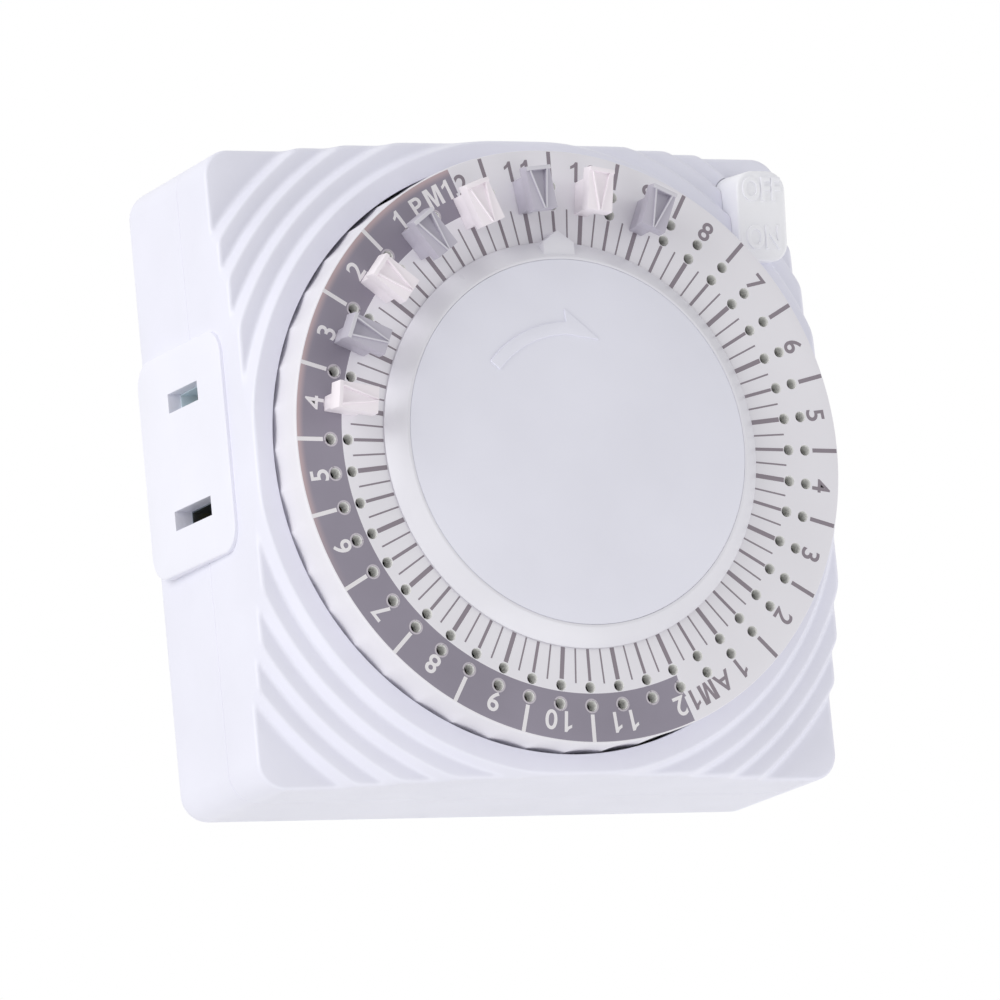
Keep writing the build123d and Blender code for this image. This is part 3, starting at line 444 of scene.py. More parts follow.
outlet_white = moulded_plastic("outlet_white_plastic", (242, 242, 252), 0.34)
outlet_plate = block("outlet_pad", (-HALF - PAD_PROUD, PAD_Y - PAD_W / 2, PAD_Z - PAD_H / 2),
                     (-HALF, PAD_Y + PAD_W / 2, PAD_Z + PAD_H / 2), 0, PAD_R, 10)
work(outlet_plate, "FACE", lambda f: f.normal.x > 0.9, bpy.ops.mesh.inset, thickness=(NECK_INSET + 0.1) * MM)
work(outlet_plate, "FACE", lambda f: f.normal.x > 0.9 and f.calc_area() > 3e-4, bpy.ops.mesh.inset,
     thickness=0.00001, depth=WALL * MM)
work(outlet_plate, "EDGE", lambda e: all(abs(v.co.x + (HALF + PAD_PROUD) * MM) < 1e-6 for v in e.verts),
     bpy.ops.mesh.bevel, offset=0.3 * MM, segments=3, affect="EDGES", clamp_overlap=False)
for v in outlet_plate.data.vertices:
    if v.co.x < -HALF * MM:
        back_share = (v.co.y / MM - PAD_Y) / PAD_W + 0.5
        lift = (PAD_FRONT_PROUD + (PAD_PROUD - PAD_FRONT_PROUD) * back_share) / PAD_PROUD
        v.co.x = -HALF * MM + (v.co.x + HALF * MM) * lift
for z, width in OUTLET_SLOTS:
    combine(outlet_plate, block(
        "slot", (-HALF - 2, OUTLET_Y - width / 2 - SLOT_GAP, z - BLADE_T / 2 - SLOT_GAP),
        (-HALF + 4, OUTLET_Y + width / 2 + SLOT_GAP, z + BLADE_T / 2 + SLOT_GAP)))
dress(outlet_plate, outlet_white, "housing", 30, ["outlet_plate"])

# ---- Slot sleeves ----
# Linings just inside the outlet's two slots, pushed in from behind: a pale moulded one above and a bare metal
# one, set deeper, below.
SLEEVE_STARTS = (0.5, 1.0)
SLEEVE_FAR = 3.2
SLEEVE_FIT = 0.02
SLEEVE_SIDE, SLEEVE_FLAT = 0.15, 0.12


def drawn_metal(name, colour, rough, streak=(1.0, 40.0, 1.0), tarnish=0.06):
    """Rolled or drawn metal: streaks along one axis, slightly uneven colour."""
    finish = bpy.data.materials.new(name)
    finish.use_nodes = True
    nodes, links = finish.node_tree.nodes, finish.node_tree.links
    surface = nodes["Principled BSDF"]
    surface.inputs["Metallic"].default_value = 1.0
    coords = nodes.new("ShaderNodeTexCoord")
    stretch = nodes.new("ShaderNodeMapping")
    stretch.inputs["Scale"].default_value = tuple(1000.0 / s for s in streak)
    links.new(coords.outputs["Object"], stretch.inputs["Vector"])
    grain = nodes.new("ShaderNodeTexNoise")
    grain.inputs["Scale"].default_value = 3.0
    grain.inputs["Detail"].default_value = 3.0
    links.new(stretch.outputs[0], grain.inputs["Vector"])
    base = paint_of(*colour)
    tint = nodes.new("ShaderNodeValToRGB")
    tint.color_ramp.elements[0].color = tuple(c * (1 - tarnish) for c in base[:3]) + (1,)
    tint.color_ramp.elements[1].color = tuple(min(c * (1 + tarnish), 1) for c in base[:3]) + (1,)
    links.new(noise(nodes, links, coords, 300.0).outputs["Fac"], tint.inputs["Fac"])
    links.new(tint.outputs["Color"], surface.inputs["Base Color"])
    gloss = nodes.new("ShaderNodeMapRange")
    gloss.inputs["To Min"].default_value = rough - 0.06
    gloss.inputs["To Max"].default_value = rough + 0.08
    links.new(grain.outputs["Fac"], gloss.inputs["Value"])
    links.new(gloss.outputs[0], surface.inputs["Roughness"])
    relief = nodes.new("ShaderNodeBump")
    relief.inputs["Strength"].default_value = 0.3
    relief.inputs["Distance"].default_value = 0.003 * MM
    links.new(grain.outputs["Fac"], relief.inputs["Height"])
    links.new(relief.outputs[0], surface.inputs["Normal"])
    return finish


sleeve_gray = moulded_plastic("sleeve_gray_plastic", (226, 240, 247), 0.3)
sleeve_metal = drawn_metal("sleeve_metal", (150, 160, 166), 0.34)
for name, (z, width), start, finish in zip(("upper_slot_sleeve", "lower_slot_sleeve"), OUTLET_SLOTS, SLEEVE_STARTS,
                                           (sleeve_gray, sleeve_metal)):
    sleeve_w, sleeve_h = width / 2 + SLOT_GAP - SLEEVE_FIT, BLADE_T / 2 + SLOT_GAP - SLEEVE_FIT
    sleeve = block(name, (-HALF + start, OUTLET_Y - sleeve_w, z - sleeve_h),
                   (-HALF + SLEEVE_FAR, OUTLET_Y + sleeve_w, z + sleeve_h))
    way_w, way_h = sleeve_w - SLEEVE_SIDE, sleeve_h - SLEEVE_FLAT
    combine(sleeve, block("sleeve_way", (-HALF - 1, OUTLET_Y - way_w, z - way_h),
                          (-HALF + 5, OUTLET_Y + way_w, z + way_h)))
    dress(sleeve, finish, "housing", 30)

# ---- Plug blades ----
# Two flat brass blades, nickel plated and polished along their length, with tapered tips and a round hole.
# The wider one is the neutral; their feet lie against the inside of the back.


def merged_copy(node, name):
    """The node's own shape as a clean mesh: doubles merged, flat triangles joined."""
    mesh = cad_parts[node].data.copy()
    mesh.name = name
    piece = bpy.data.objects.new(name, mesh)
    bpy.context.collection.objects.link(piece)
    form = bmesh.new()
    form.from_mesh(mesh)
    bmesh.ops.remove_doubles(form, verts=form.verts, dist=1e-6)
    bmesh.ops.dissolve_limit(form, angle_limit=radians(1.0), verts=form.verts, edges=form.edges)
    form.to_mesh(mesh)
    form.free()
    return piece


nickel_plate = drawn_metal("nickel_plated_brass", (205, 200, 188), 0.22)
for name, x, width in BLADES:
    blade = merged_copy(name, "plated_" + name)
    soften(blade, 0.14, 40, 2)
    dress(blade, nickel_plate, "housing", 30, [name])

# ---- Housing screws ----
# Two zinc plated pan-head screws with a cross recess, sunk in the back, that pull the covers together.
SCREW_LENGTH = 15.0

zinc_plate = drawn_metal("zinc_plated_steel", (178, 180, 184), 0.3, (1.0, 1.0, 1.0))
screw_pieces = []
for x, z in SCREWS:
    screw = rod("screw", (x, -SCREW_SUNK - SCREW_HEAD / 2, z), SCREW_HEAD_R, SCREW_HEAD, 1, 40)
    work(screw, "EDGE", lambda e: all(abs(v.co.y + SCREW_SUNK * MM) < 1e-6 for v in e.verts), bpy.ops.mesh.bevel,
         offset=0.6 * MM, segments=4, affect="EDGES", clamp_overlap=False)
    combine(screw, rod("shank", (x, -SCREW_SUNK - SCREW_HEAD - SCREW_LENGTH / 2 + 0.2, z), SCREW_R,
                       SCREW_LENGTH + 0.4, 1, 24), "UNION")
    for long_x, long_z in ((1.5, 0.35), (0.35, 1.5)):
        combine(screw, block("recess", (x - long_x, -SCREW_SUNK - 1.1, z - long_z), (x + long_x, 0, z + long_z)))
    screw_pieces.append(screw)
pick(screw_pieces[0])
screw_pieces[1].select_set(True)
bpy.ops.object.join()
screw_pieces[0].name = screw_pieces[0].data.name = "back_screws"
dress(screw_pieces[0], zinc_plate, "housing", 30, ["housing_screws"])

# ---- Dial ----
# Moulded wheel that turns once a day: face with two circles of holes, scalloped grip round the rim, ring gear
# inside.  The afternoon half of its hour scale is printed as a gray band with the numbers left white.
FACE = 33.5
FACE_T = 1.8
BORE_R, SLEEVE_R, SLEEVE_END = 5.05, 7.35, 20.0
RIM_INNER_R, RIM_END = 30.2, 22.5
FACE_R = 32.3
FLUTES = 45
FLUTE_DEPTH = 0.3
FLUTE_TOP = 33.15
FLUTE_SLOPE = 0.062
HOURS = 24
NOON = 10.5
DIAL_TURN = 1.18
HOLE_R = 0.6
HOLE_CIRCLES = (26.28, 28.29)
PATCH = (25.2, 29.4)
BAND = (26.95, 32.2)
BAND_EDGE = (31.25, 32.15)
STEPS_ROUND = 720
STEP = 360 / STEPS_ROUND


def hour_angle(hour):
    """Degrees clockwise from the top."""
    return (NOON - hour) * 15 + DIAL_TURN


FIRST_ANGLE = hour_angle(12) - 3.75


def clock(radius, angle, depth):
    """Point at an angle clockwise from the top, in degrees."""
    return (radius * sin(radians(angle)), -depth, radius * cos(radians(angle)))


def in_band(radius, angle):
    return BAND[0] < radius < BAND[1] + 0.02 and (hour_angle(12) - angle) % 360 < 180


def scallop(angle, depth):
    """How far the grip lies inside the rim's tips."""
    place = (angle - FIRST_ANGLE) / (360 / FLUTES) % 1
    return min(max(FLUTE_TOP - depth, 0) * FLUTE_SLOPE, FLUTE_DEPTH) * (1 - (2 * place - 1) ** 2)


def hole_sector():
    """One half hour of the face between PATCH radii, flat, with its two holes: points, triangles, hole rings."""
    def spot(r, a):
        return Vector((r * sin(radians(a)), r * cos(radians(a))))

    angles = [-3.75 + STEP * k for k in range(16)]
    points, edges = [], []

    def chain(new, closed=False):
        first = len(points)
        points.extend(new)
        edges.extend((first + k, first + k + 1) for k in range(len(new) - 1))
        if closed:
            edges.append((first + len(new) - 1, first))
        return first

    inner = chain([spot(PATCH[0], a) for a in angles])
    band = chain([spot(BAND[0], a) for a in angles])
    outer = chain([spot(PATCH[1], a) for a in angles])
    for k in (0, 15):
        edges.extend(((inner + k, band + k), (band + k, outer + k)))
    sides = 20
    rings = []
    for r in HOLE_CIRCLES:
        rings.append(chain([Vector((0, r)) + spot(HOLE_R, 360 * k / sides) for k in range(sides)], True))
    edges.append((band + 8, rings[1] + sides // 2))
    edges.append((rings[1], outer + 8))
    found, _, faces, _, _, _ = delaunay_2d_cdt(points, edges, [], 0, 1e-6)
    kept = []
    for f in faces:
        middle = sum((found[i] for i in f), Vector((0, 0))) / len(f)
        if middle.length < PATCH[0] - 0.0005:
            continue
        if any((middle - Vector((0, r))).length < HOLE_R * 0.985 for r in HOLE_CIRCLES):
            continue
        kept.append(tuple(f))
    return found, kept, [[points[first + k] for k in range(sides)] for first in rings]


def dial_wheel():
    points, faces, inks = [], [], []

    def add(new_points, new_faces, ink):
        start = len(points)
        points.extend(new_points)
        for f in new_faces:
            faces.append(tuple(start + i for i in f))
            inks.append(ink)

    angles = [FIRST_ANGLE + STEP * k for k in range(STEPS_ROUND)]

    def band_of_rings(rows, printed=False):
        """Faces between successive (radius, depth) rings round the dial."""
        for (r0, d0, f0), (r1, d1, f1) in zip(rows, rows[1:]):
            first = [clock(r0 - (scallop(a, d0) if f0 else 0), a, d0) for a in angles]
            second = [clock(r1 - (scallop(a, d1) if f1 else 0), a, d1) for a in angles]
            start = len(points)
            points.extend(first + second)
            for i in range(STEPS_ROUND):
                n = (i + 1) % STEPS_ROUND
                faces.append((start + i, start + n, start + STEPS_ROUND + n, start + STEPS_ROUND + i))
                middle_r, middle_a = (r0 + r1) / 2, angles[i] + STEP / 2
                inks.append(1 if printed and in_band(middle_r, middle_a) else 0)

    back = FACE - FACE_T
    band_of_rings([(BORE_R, FACE, 0), (14, FACE, 0), (22, FACE, 0), (PATCH[0], FACE, 0)])
    band_of_rings([(PATCH[1], FACE, 0), (31, FACE, 0), (BAND[1] - 0.05, FACE, 0)], True)
    rim = [(BAND[1] - 0.05, FACE, 0), (FACE_R - 0.06, FACE - 0.03, 0), (FACE_R - 0.015, FACE - 0.1, 0),
           (FACE_R, FACE - 0.22, 0)]
    rim += [(FACE_R + 0.01, FLUTE_TOP - 0.3 * k - 0.05 * k * k, 1) for k in range(8)]
    rim += [(FACE_R + 0.02, d, 1) for d in (27.5, 25.0, RIM_END + 0.2)]
    rim += [(FACE_R - 0.1, RIM_END, 1), (RIM_INNER_R, RIM_END, 0), (RIM_INNER_R, back, 0), (PATCH[1], back, 0)]
    band_of_rings(rim)
    band_of_rings([(PATCH[0], back, 0), (SLEEVE_R, back, 0), (SLEEVE_R, SLEEVE_END, 0), (BORE_R, SLEEVE_END, 0),
                   (BORE_R, FACE, 0)])
    flat, triangles, hole_rings = hole_sector()
    for k in range(2 * HOURS):
        turn = hour_angle(12) + 7.5 * k
        swing = Matrix.Rotation(radians(-turn), 2)
        placed = [swing @ p for p in flat]
        for depth in (FACE, back):
            shown = [(p.x, -depth, p.y) for p in placed]
            start = len(points)
            points.extend(shown)
            for f in triangles:
                middle = sum((placed[i] for i in f), Vector((0, 0))) / 3
                a = degrees(atan2(middle.x, middle.y))
                faces.append(tuple(start + i for i in f))
                inks.append(1 if depth == FACE and in_band(middle.length, a) else 0)
        for ring in hole_rings:
            turned = [swing @ p for p in ring]
            count = len(turned)
            wall = [(p.x, -FACE, p.y) for p in turned] + [(p.x, -back, p.y) for p in turned]
            # Hole walls take the third finish, painted lighter than the plastic.
            add(wall, [(i, (i + 1) % count, count + (i + 1) % count, count + i) for i in range(count)], 2)
    mesh = bpy.data.meshes.new("dial_wheel")
    mesh.from_pydata([Vector(p) * MM for p in points], [], faces)
    mesh.polygons.foreach_set("material_index", inks)
    form = bmesh.new()
    form.from_mesh(mesh)
    bmesh.ops.remove_doubles(form, verts=form.verts, dist=5e-7)
    bmesh.ops.recalc_face_normals(form, faces=form.faces)
    form.to_mesh(mesh)
    form.free()
    piece = bpy.data.objects.new("dial_wheel", mesh)
    bpy.context.collection.objects.link(piece)
    return piece


RING_TEETH = 60
RING_TIP_R, RING_ROOT_R, RING_OUTER_R, RING_FACE = 28.03, 29.9, 30.3, 4.0
RING_TOOTH_AT = 240.0


def inside_gear():
    """Ring gear moulded on the inside of the rim."""
    pitch = 360 / RING_TEETH
    outline = []
    for k in range(RING_TEETH):
        a = 90 - RING_TOOTH_AT + k * pitch
        for share, r in ((-0.36, RING_ROOT_R), (-0.13, RING_TIP_R), (0.13, RING_TIP_R), (0.36, RING_ROOT_R)):
            outline.append((a + share * pitch, r))
    near, far = RIM_END + 0.01, RIM_END + RING_FACE
    rings = [
        [clock(r, a, near) for a, r in outline], [clock(r, a, far) for a, r in outline],
        [clock(RING_OUTER_R, a, far) for a, r in outline], [clock(RING_OUTER_R, a, near) for a, r in outline]]
    return ring_mesh("ring_gear", rings)


def fade_to_edge(finish, colour, reach):
    """The finish turns to another colour between two distances from the dial's axis, most at the upper left."""
    nodes, links = finish.node_tree.nodes, finish.node_tree.links
    tint = nodes["Principled BSDF"].inputs["Base Color"].links[0].from_socket
    coords = next(n for n in nodes if n.type == "TEX_COORD")
    flatten = nodes.new("ShaderNodeVectorMath")
    flatten.operation = "MULTIPLY"
    flatten.inputs[1].default_value = (1, 0, 1)
    links.new(coords.outputs["Object"], flatten.inputs[0])
    reach_from_axis = nodes.new("ShaderNodeVectorMath")
    reach_from_axis.operation = "LENGTH"
    links.new(flatten.outputs[0], reach_from_axis.inputs[0])
    share = nodes.new("ShaderNodeMapRange")
    share.interpolation_type = "SMOOTHSTEP"
    share.inputs["From Min"].default_value = reach[0] * MM
    share.inputs["From Max"].default_value = reach[1] * MM
    links.new(reach_from_axis.outputs["Value"], share.inputs["Value"])
    # Share of the tint by side: most at the upper left.
    toward_upper_left = nodes.new("ShaderNodeVectorMath")
    toward_upper_left.operation = "DOT_PRODUCT"
    toward_upper_left.inputs[1].default_value = (-0.86 / (32 * MM), 0, 0.5 / (32 * MM))
    links.new(coords.outputs["Object"], toward_upper_left.inputs[0])
    side_share = nodes.new("ShaderNodeMapRange")
    side_share.interpolation_type = "SMOOTHSTEP"
    side_share.inputs["From Min"].default_value = 0.45
    side_share.inputs["From Max"].default_value = 0.85
    links.new(toward_upper_left.outputs["Value"], side_share.inputs["Value"])
    both = nodes.new("ShaderNodeMath")
    both.operation = "MULTIPLY"
    links.new(share.outputs[0], both.inputs[0])
    links.new(side_share.outputs[0], both.inputs[1])
    blend = nodes.new("ShaderNodeMix")
    blend.data_type = "RGBA"
    links.new(both.outputs[0], blend.inputs["Factor"])
    links.new(tint, blend.inputs["A"])
    blend.inputs["B"].default_value = paint_of(*colour)
    links.new(blend.outputs["Result"], nodes["Principled BSDF"].inputs["Base Color"])


dial_white = moulded_plastic("dial_white_plastic", (237, 235, 241), 0.4)
band_ink = moulded_plastic("band_gray_ink", (145, 139, 153), 0.46, 0.06, 0.004, 3200.0)
# The band's outer edge turns lighter and pinker, most at the upper left.
fade_to_edge(band_ink, (190, 168, 172), BAND_EDGE)
# Painted light: the walls of the dial's holes are painted near-white, lighter than the dial's own plastic, against
# the shade inside them.
hole_wall_light_paint = moulded_plastic("hole_wall_painted_light", (250, 250, 248), 0.6, 0.04)
dial = dial_wheel()
gear_ring = inside_gear()
for finish in (dial_white, band_ink, hole_wall_light_paint):
    dial.data.materials.append(finish)
gear_ring.data.materials.append(dial_white)
pick(dial)
gear_ring.select_set(True)
bpy.ops.object.join()
dress(dial, None, "dial", 30, ["time_dial"])

# ---- Printing on the dial ----
# Pad-printed ink: tick lines inside and outside the holes, the hours, and a thin white ring left round each
# outer hole of the gray half.
INK = 0.012
TICKS = {"hour": (22.15, 25.6, 0.5), "half": (22.15, 25.6, 0.34), "quarter": (22.15, 25.9, 0.18)}
OUTER_TICK = (29.2, 32.15, 0.45)
UNTICKED = (46, 50, 94)  # clockwise from noon: AM is at 46, PM at 94, and half past eleven at night, 50, has none
NUMBER_R = 30.15
NUMBER_SIZE = 3.0
NUMBER_BOLD = 0.045
DIGIT_HALF, CAPITAL_HALF = 1.0, 1.15
CAP_HEIGHT = 2.25
ONE = ((0.12, 0), (0.12, 0.74), (-0.1, 0.62), (-0.1, 0.77), (0.06, 0.86), (0.16, 1), (0.29, 1), (0.29, 0))
EM = ((0, 0), (0, 1), (0.29, 1), (0.44, 0.33), (0.59, 1), (0.88, 1), (0.88, 0), (0.69, 0), (0.69, 0.76), (0.52, 0),
      (0.36, 0), (0.19, 0.76), (0.19, 0))
HALO_R = (0.62, 0.8)

dark_ink = moulded_plastic("dark_print", (140, 131, 140), 0.5, 0.05, 0.004, 3200.0)
white_ink = moulded_plastic("white_print", (238, 235, 238), 0.45, 0.02, 0.004, 3200.0)
halo_ink = moulded_plastic("halo_print", (196, 190, 198), 0.5, 0.05, 0.004, 3200.0)
dark_marks, white_marks, halo_marks = ([], []), ([], []), ([], [])


def add_solid(marks, outline, near, far):
    """Thin prism of ink over a closed outline of (x, z) points."""
    start, count = len(marks[0]), len(outline)
    marks[0].extend([(x, -near, z) for x, z in outline] + [(x, -far, z) for x, z in outline])
    marks[1].append(tuple(start + i for i in range(count)))
    marks[1].append(tuple(start + count + i for i in reversed(range(count))))
    for i in range(count):
        n = (i + 1) % count
        marks[1].append((start + i, start + count + i, start + count + n, start + n))


def add_tick(marks, inner, outer, width, angle):
    swing = Matrix.Rotation(radians(-angle), 2)
    corners = ((-width / 2, inner), (width / 2, inner), (width / 2, outer), (-width / 2, outer))
    add_solid(marks, [tuple(swing @ Vector(c)) for c in corners], FACE - INK, FACE + INK)


for k in range(4 * HOURS):
    angle = hour_angle(12) + 3.75 * k
    kind = "hour" if k % 4 == 0 else "half" if k % 2 == 0 else "quarter"
    add_tick(dark_marks, *TICKS[kind], angle)
    if k % 4 == 2 and k not in UNTICKED:
        add_tick(white_marks if in_band(OUTER_TICK[0], angle) else dark_marks, *OUTER_TICK, angle)
for k in range(2 * HOURS):
    angle = hour_angle(12) + 7.5 * k
    if in_band(HOLE_CIRCLES[1], angle - 1) or in_band(HOLE_CIRCLES[1], angle + 1):
        centre = Matrix.Rotation(radians(-angle), 2) @ Vector((0, HOLE_CIRCLES[1]))
        sides = 24
        for i in range(sides):
            a0, a1 = radians(360 * i / sides), radians(360 * (i + 1) / sides)
            ring = [(centre.x + r * sin(a), centre.y + r * cos(a))
                    for r, a in ((HALO_R[0], a0), (HALO_R[0], a1), (HALO_R[1], a1), (HALO_R[1], a0))]
            middle = Vector(ring[0]) + Vector(ring[2])
            if in_band(HOLE_CIRCLES[1], degrees(atan2(middle.x, middle.y))):
                add_solid(halo_marks, ring, FACE - INK, FACE + INK)


def lettering(words, size, bold, thick, round_edge=0.0):
    """Words as a thin solid in the XY plane, centred."""
    bpy.ops.object.select_all(action="DESELECT")
    bpy.ops.object.text_add()
    text = bpy.context.object
    text.data.body = words
    text.data.size = size * MM
    text.data.offset = bold * MM
    text.data.extrude = thick * MM
    text.data.bevel_depth = round_edge * MM
    text.data.bevel_resolution = 2
    text.data.align_x = "CENTER"
    text.data.align_y = "CENTER"
    text.data.resolution_u = 6
    bpy.ops.object.convert(target="MESH")
    form = bmesh.new()
    form.from_mesh(text.data)
    bmesh.ops.remove_doubles(form, verts=form.verts, dist=1e-8)
    form.to_mesh(text.data)
    form.free()
    low = [min(v.co[k] for v in text.data.vertices) for k in (0, 1)]
    high = [max(v.co[k] for v in text.data.vertices) for k in (0, 1)]
    text.data.transform(Matrix.Translation((-(low[0] + high[0]) / 2, -(low[1] + high[1]) / 2, 0)))
    return text


FACE_UP = Matrix.Rotation(pi / 2, 4, "X")
DRAWN = {"1": (ONE, 0.1), "M": (EM, 0.44)}


def print_sign(sign, angle, white):
    """One digit or capital, upright for a reader who stands outside the dial's edge."""
    if sign in DRAWN:
        outline, middle = DRAWN[sign]
        swing = Matrix.Rotation(radians(-angle), 2)
        corners = [Vector(((x - middle) * CAP_HEIGHT, (z - 0.5) * CAP_HEIGHT + NUMBER_R)) for x, z in outline]
        add_solid(white_marks if white else dark_marks, [tuple(swing @ c) for c in corners], FACE - INK, FACE + INK)
        return
    text = lettering(sign, NUMBER_SIZE, NUMBER_BOLD, INK)
    place = Matrix.Rotation(radians(-angle), 4, "Z") @ Matrix.Translation((0, NUMBER_R * MM, 0))
    text.data.transform(Matrix.Translation((0, -FACE * MM, 0)) @ FACE_UP @ place)
    (white_texts if white else dark_texts).append(text)


def print_pair(signs, angle, white, half):
    for sign, way in zip(signs, (-1, 1)):
        print_sign(sign, angle + way * degrees(half / NUMBER_R), white)


dark_texts, white_texts = [], []
for hour in range(1, 25):
    angle = hour_angle(hour)
    label = str(hour if hour < 13 else hour - 12)
    if hour % 12 == 0:  # the gray half ends in the middle of both twelves, so one figure of each is white
        print_sign("1", angle - degrees(DIGIT_HALF / NUMBER_R), hour == 12)
        print_sign("2", angle + degrees(DIGIT_HALF / NUMBER_R), hour == 24)
    elif len(label) > 1:
        print_pair(label, angle, hour > 12, DIGIT_HALF)
    else:
        print_sign(label, angle, hour > 12)
print_pair("PM", hour_angle(12.5), True, CAPITAL_HALF)
print_pair("AM", hour_angle(24.5), False, CAPITAL_HALF)

for name, marks, texts, finish in (("dark_dial_print", dark_marks, dark_texts, dark_ink),
                                   ("white_dial_print", white_marks, white_texts, white_ink),
                                   ("hole_ring_print", halo_marks, (), halo_ink)):
    printing = mesh_piece(name, *marks)
    pick(printing)
    for text in texts:
        text.select_set(True)
    bpy.ops.object.join()
    dress(printing, finish, "dial", 30)

# ---- Hub ----
# Fixed satin ring in the middle of the dial with the house-shaped time pointer, and the flat cap set into it
# with its raised arrow.
HUB_R = 22.1
HUB_FOOT = 33.65
HUB_FRONT = 35.43
CAP_R = 19.85
CAP_GAP = 0.03
BRIM = 0.3
CAP_SEAT = 34.6
POINTER = ((-1.86, 20.0), (-1.86, 21.8), (0, 23.12), (1.86, 21.8), (1.86, 20.0))
POINTER_RISE = 1.68
ARROW_IN, ARROW_OUT = 11.62, 12.98
ARROW_TAIL, ARROW_NECK, ARROW_TIP, ARROW_BARB_R = -48.0, -1.0, 17.8, 14.4
ARROW_RISE = 0.18


def prism(name, outline, near, far):
    """Solid over a closed outline of (x, z) points, from `near` to `far` in front of the back."""
    marks = ([], [])
    add_solid(marks, outline, near, far)
    return mesh_piece(name, *marks)


hub_satin = moulded_plastic("hub_satin_plastic", (231, 230, 237), 0.3)
cap_white = moulded_plastic("cap_white_plastic", (235, 235, 246), 0.42)
hub = rod("hub_bezel", (0, -HUB_FOOT - 0.05, 0), HUB_R, 0.1, 1, 180)
rise = HUB_FRONT - HUB_FOOT - 0.1
seat_r = CAP_R + CAP_GAP
work(hub, "FACE", lambda f: f.normal.y < -0.9, bpy.ops.mesh.inset, thickness=(HUB_R - seat_r - BRIM) * MM,
     depth=rise * MM)
work(hub, "FACE", lambda f: f.normal.y < -0.9 and len(f.verts) > 4, bpy.ops.mesh.inset, thickness=BRIM * MM)
work(hub, "FACE", lambda f: f.normal.y < -0.9 and len(f.verts) > 4, bpy.ops.mesh.inset, thickness=0.00002,
     depth=-(HUB_FRONT - CAP_SEAT) * MM)
soften(hub, 0.1, 25, 2)
pointer = prism("pointer", POINTER, HUB_FOOT, FACE + POINTER_RISE)
soften(pointer, 0.12, 40, 2)
combine(hub, pointer, "UNION")
dress(hub, hub_satin, "housing", 30, ["hub_ring"])

cap = rod("hub_cover", (0, -(CAP_SEAT + HUB_FRONT) / 2, 0), CAP_R, HUB_FRONT - CAP_SEAT, 1, 180)
soften(cap, 0.06, 40, 2)
turns = 24
sweep = [ARROW_TAIL + (ARROW_NECK - ARROW_TAIL) * k / turns for k in range(turns + 1)]
arrow_line = [clock(ARROW_IN, a, 0) for a in sweep] + [clock(ARROW_IN, ARROW_TIP, 0)]
arrow_line += [clock(ARROW_BARB_R, ARROW_NECK, 0)] + [clock(ARROW_OUT, a, 0) for a in reversed(sweep)]
arrow = prism("arrow", [(x, z) for x, _, z in arrow_line], HUB_FRONT - 0.3, HUB_FRONT + ARROW_RISE)
soften(arrow, 0.09, 40, 2)
combine(cap, arrow, "UNION")
dress(cap, cap_white, "housing", 30, ["hub_cap"])

# ---- Trippers ----
# Pull-out pins in gray and white plastic, one for each time at which the timer switches.  A narrow stem carries
# a wider head with a raised outer bar and a V-shaped finger grip.
TRIPPERS = {"9am": "gray", "10am": "white", "11am": "gray", "12noon": "white", "1pm": "gray", "2pm": "white",
            "3pm": "gray", "4pm": "white"}
HOUR_OF = {label: hour for hour, label in enumerate(TRIPPERS, 9)}

tripper_finish = {
    "gray": moulded_plastic("tripper_gray_plastic", (188, 184, 197), 0.36, 0.03),
    "white": moulded_plastic("tripper_white_plastic", (248, 241, 247), 0.36),
}
# Painted highlight: a paler gray for the topmost faces of the gray trippers.
gray_painted_highlight = moulded_plastic("tripper_painted_highlight", (214, 212, 220), 0.3)
HEAD_IN, HEAD_OUT, HEAD_LEAN, HEAD_HALF = 24.87, 29.52, 0.2, 1.45
HEAD_FOOT, HEAD_TOP, HEAD_BAR = 36.8, 38.5, 0.42
FACET_DROP, RIDGE_DROP, RIDGE = 0.26, 0.05, 0.1
NOTCH_DROP = {"gray": 0.5, "white": 0.22}
STEM_HALF, STEM_IN, STEM_OUT = 0.8, 25.4, 29.0
PRONG_R, PRONG_END = 0.55, 29.2
HIGHLIGHT_DEPTH = 0.15  # painted highlight: the gray ones are painted paler this far down from the top


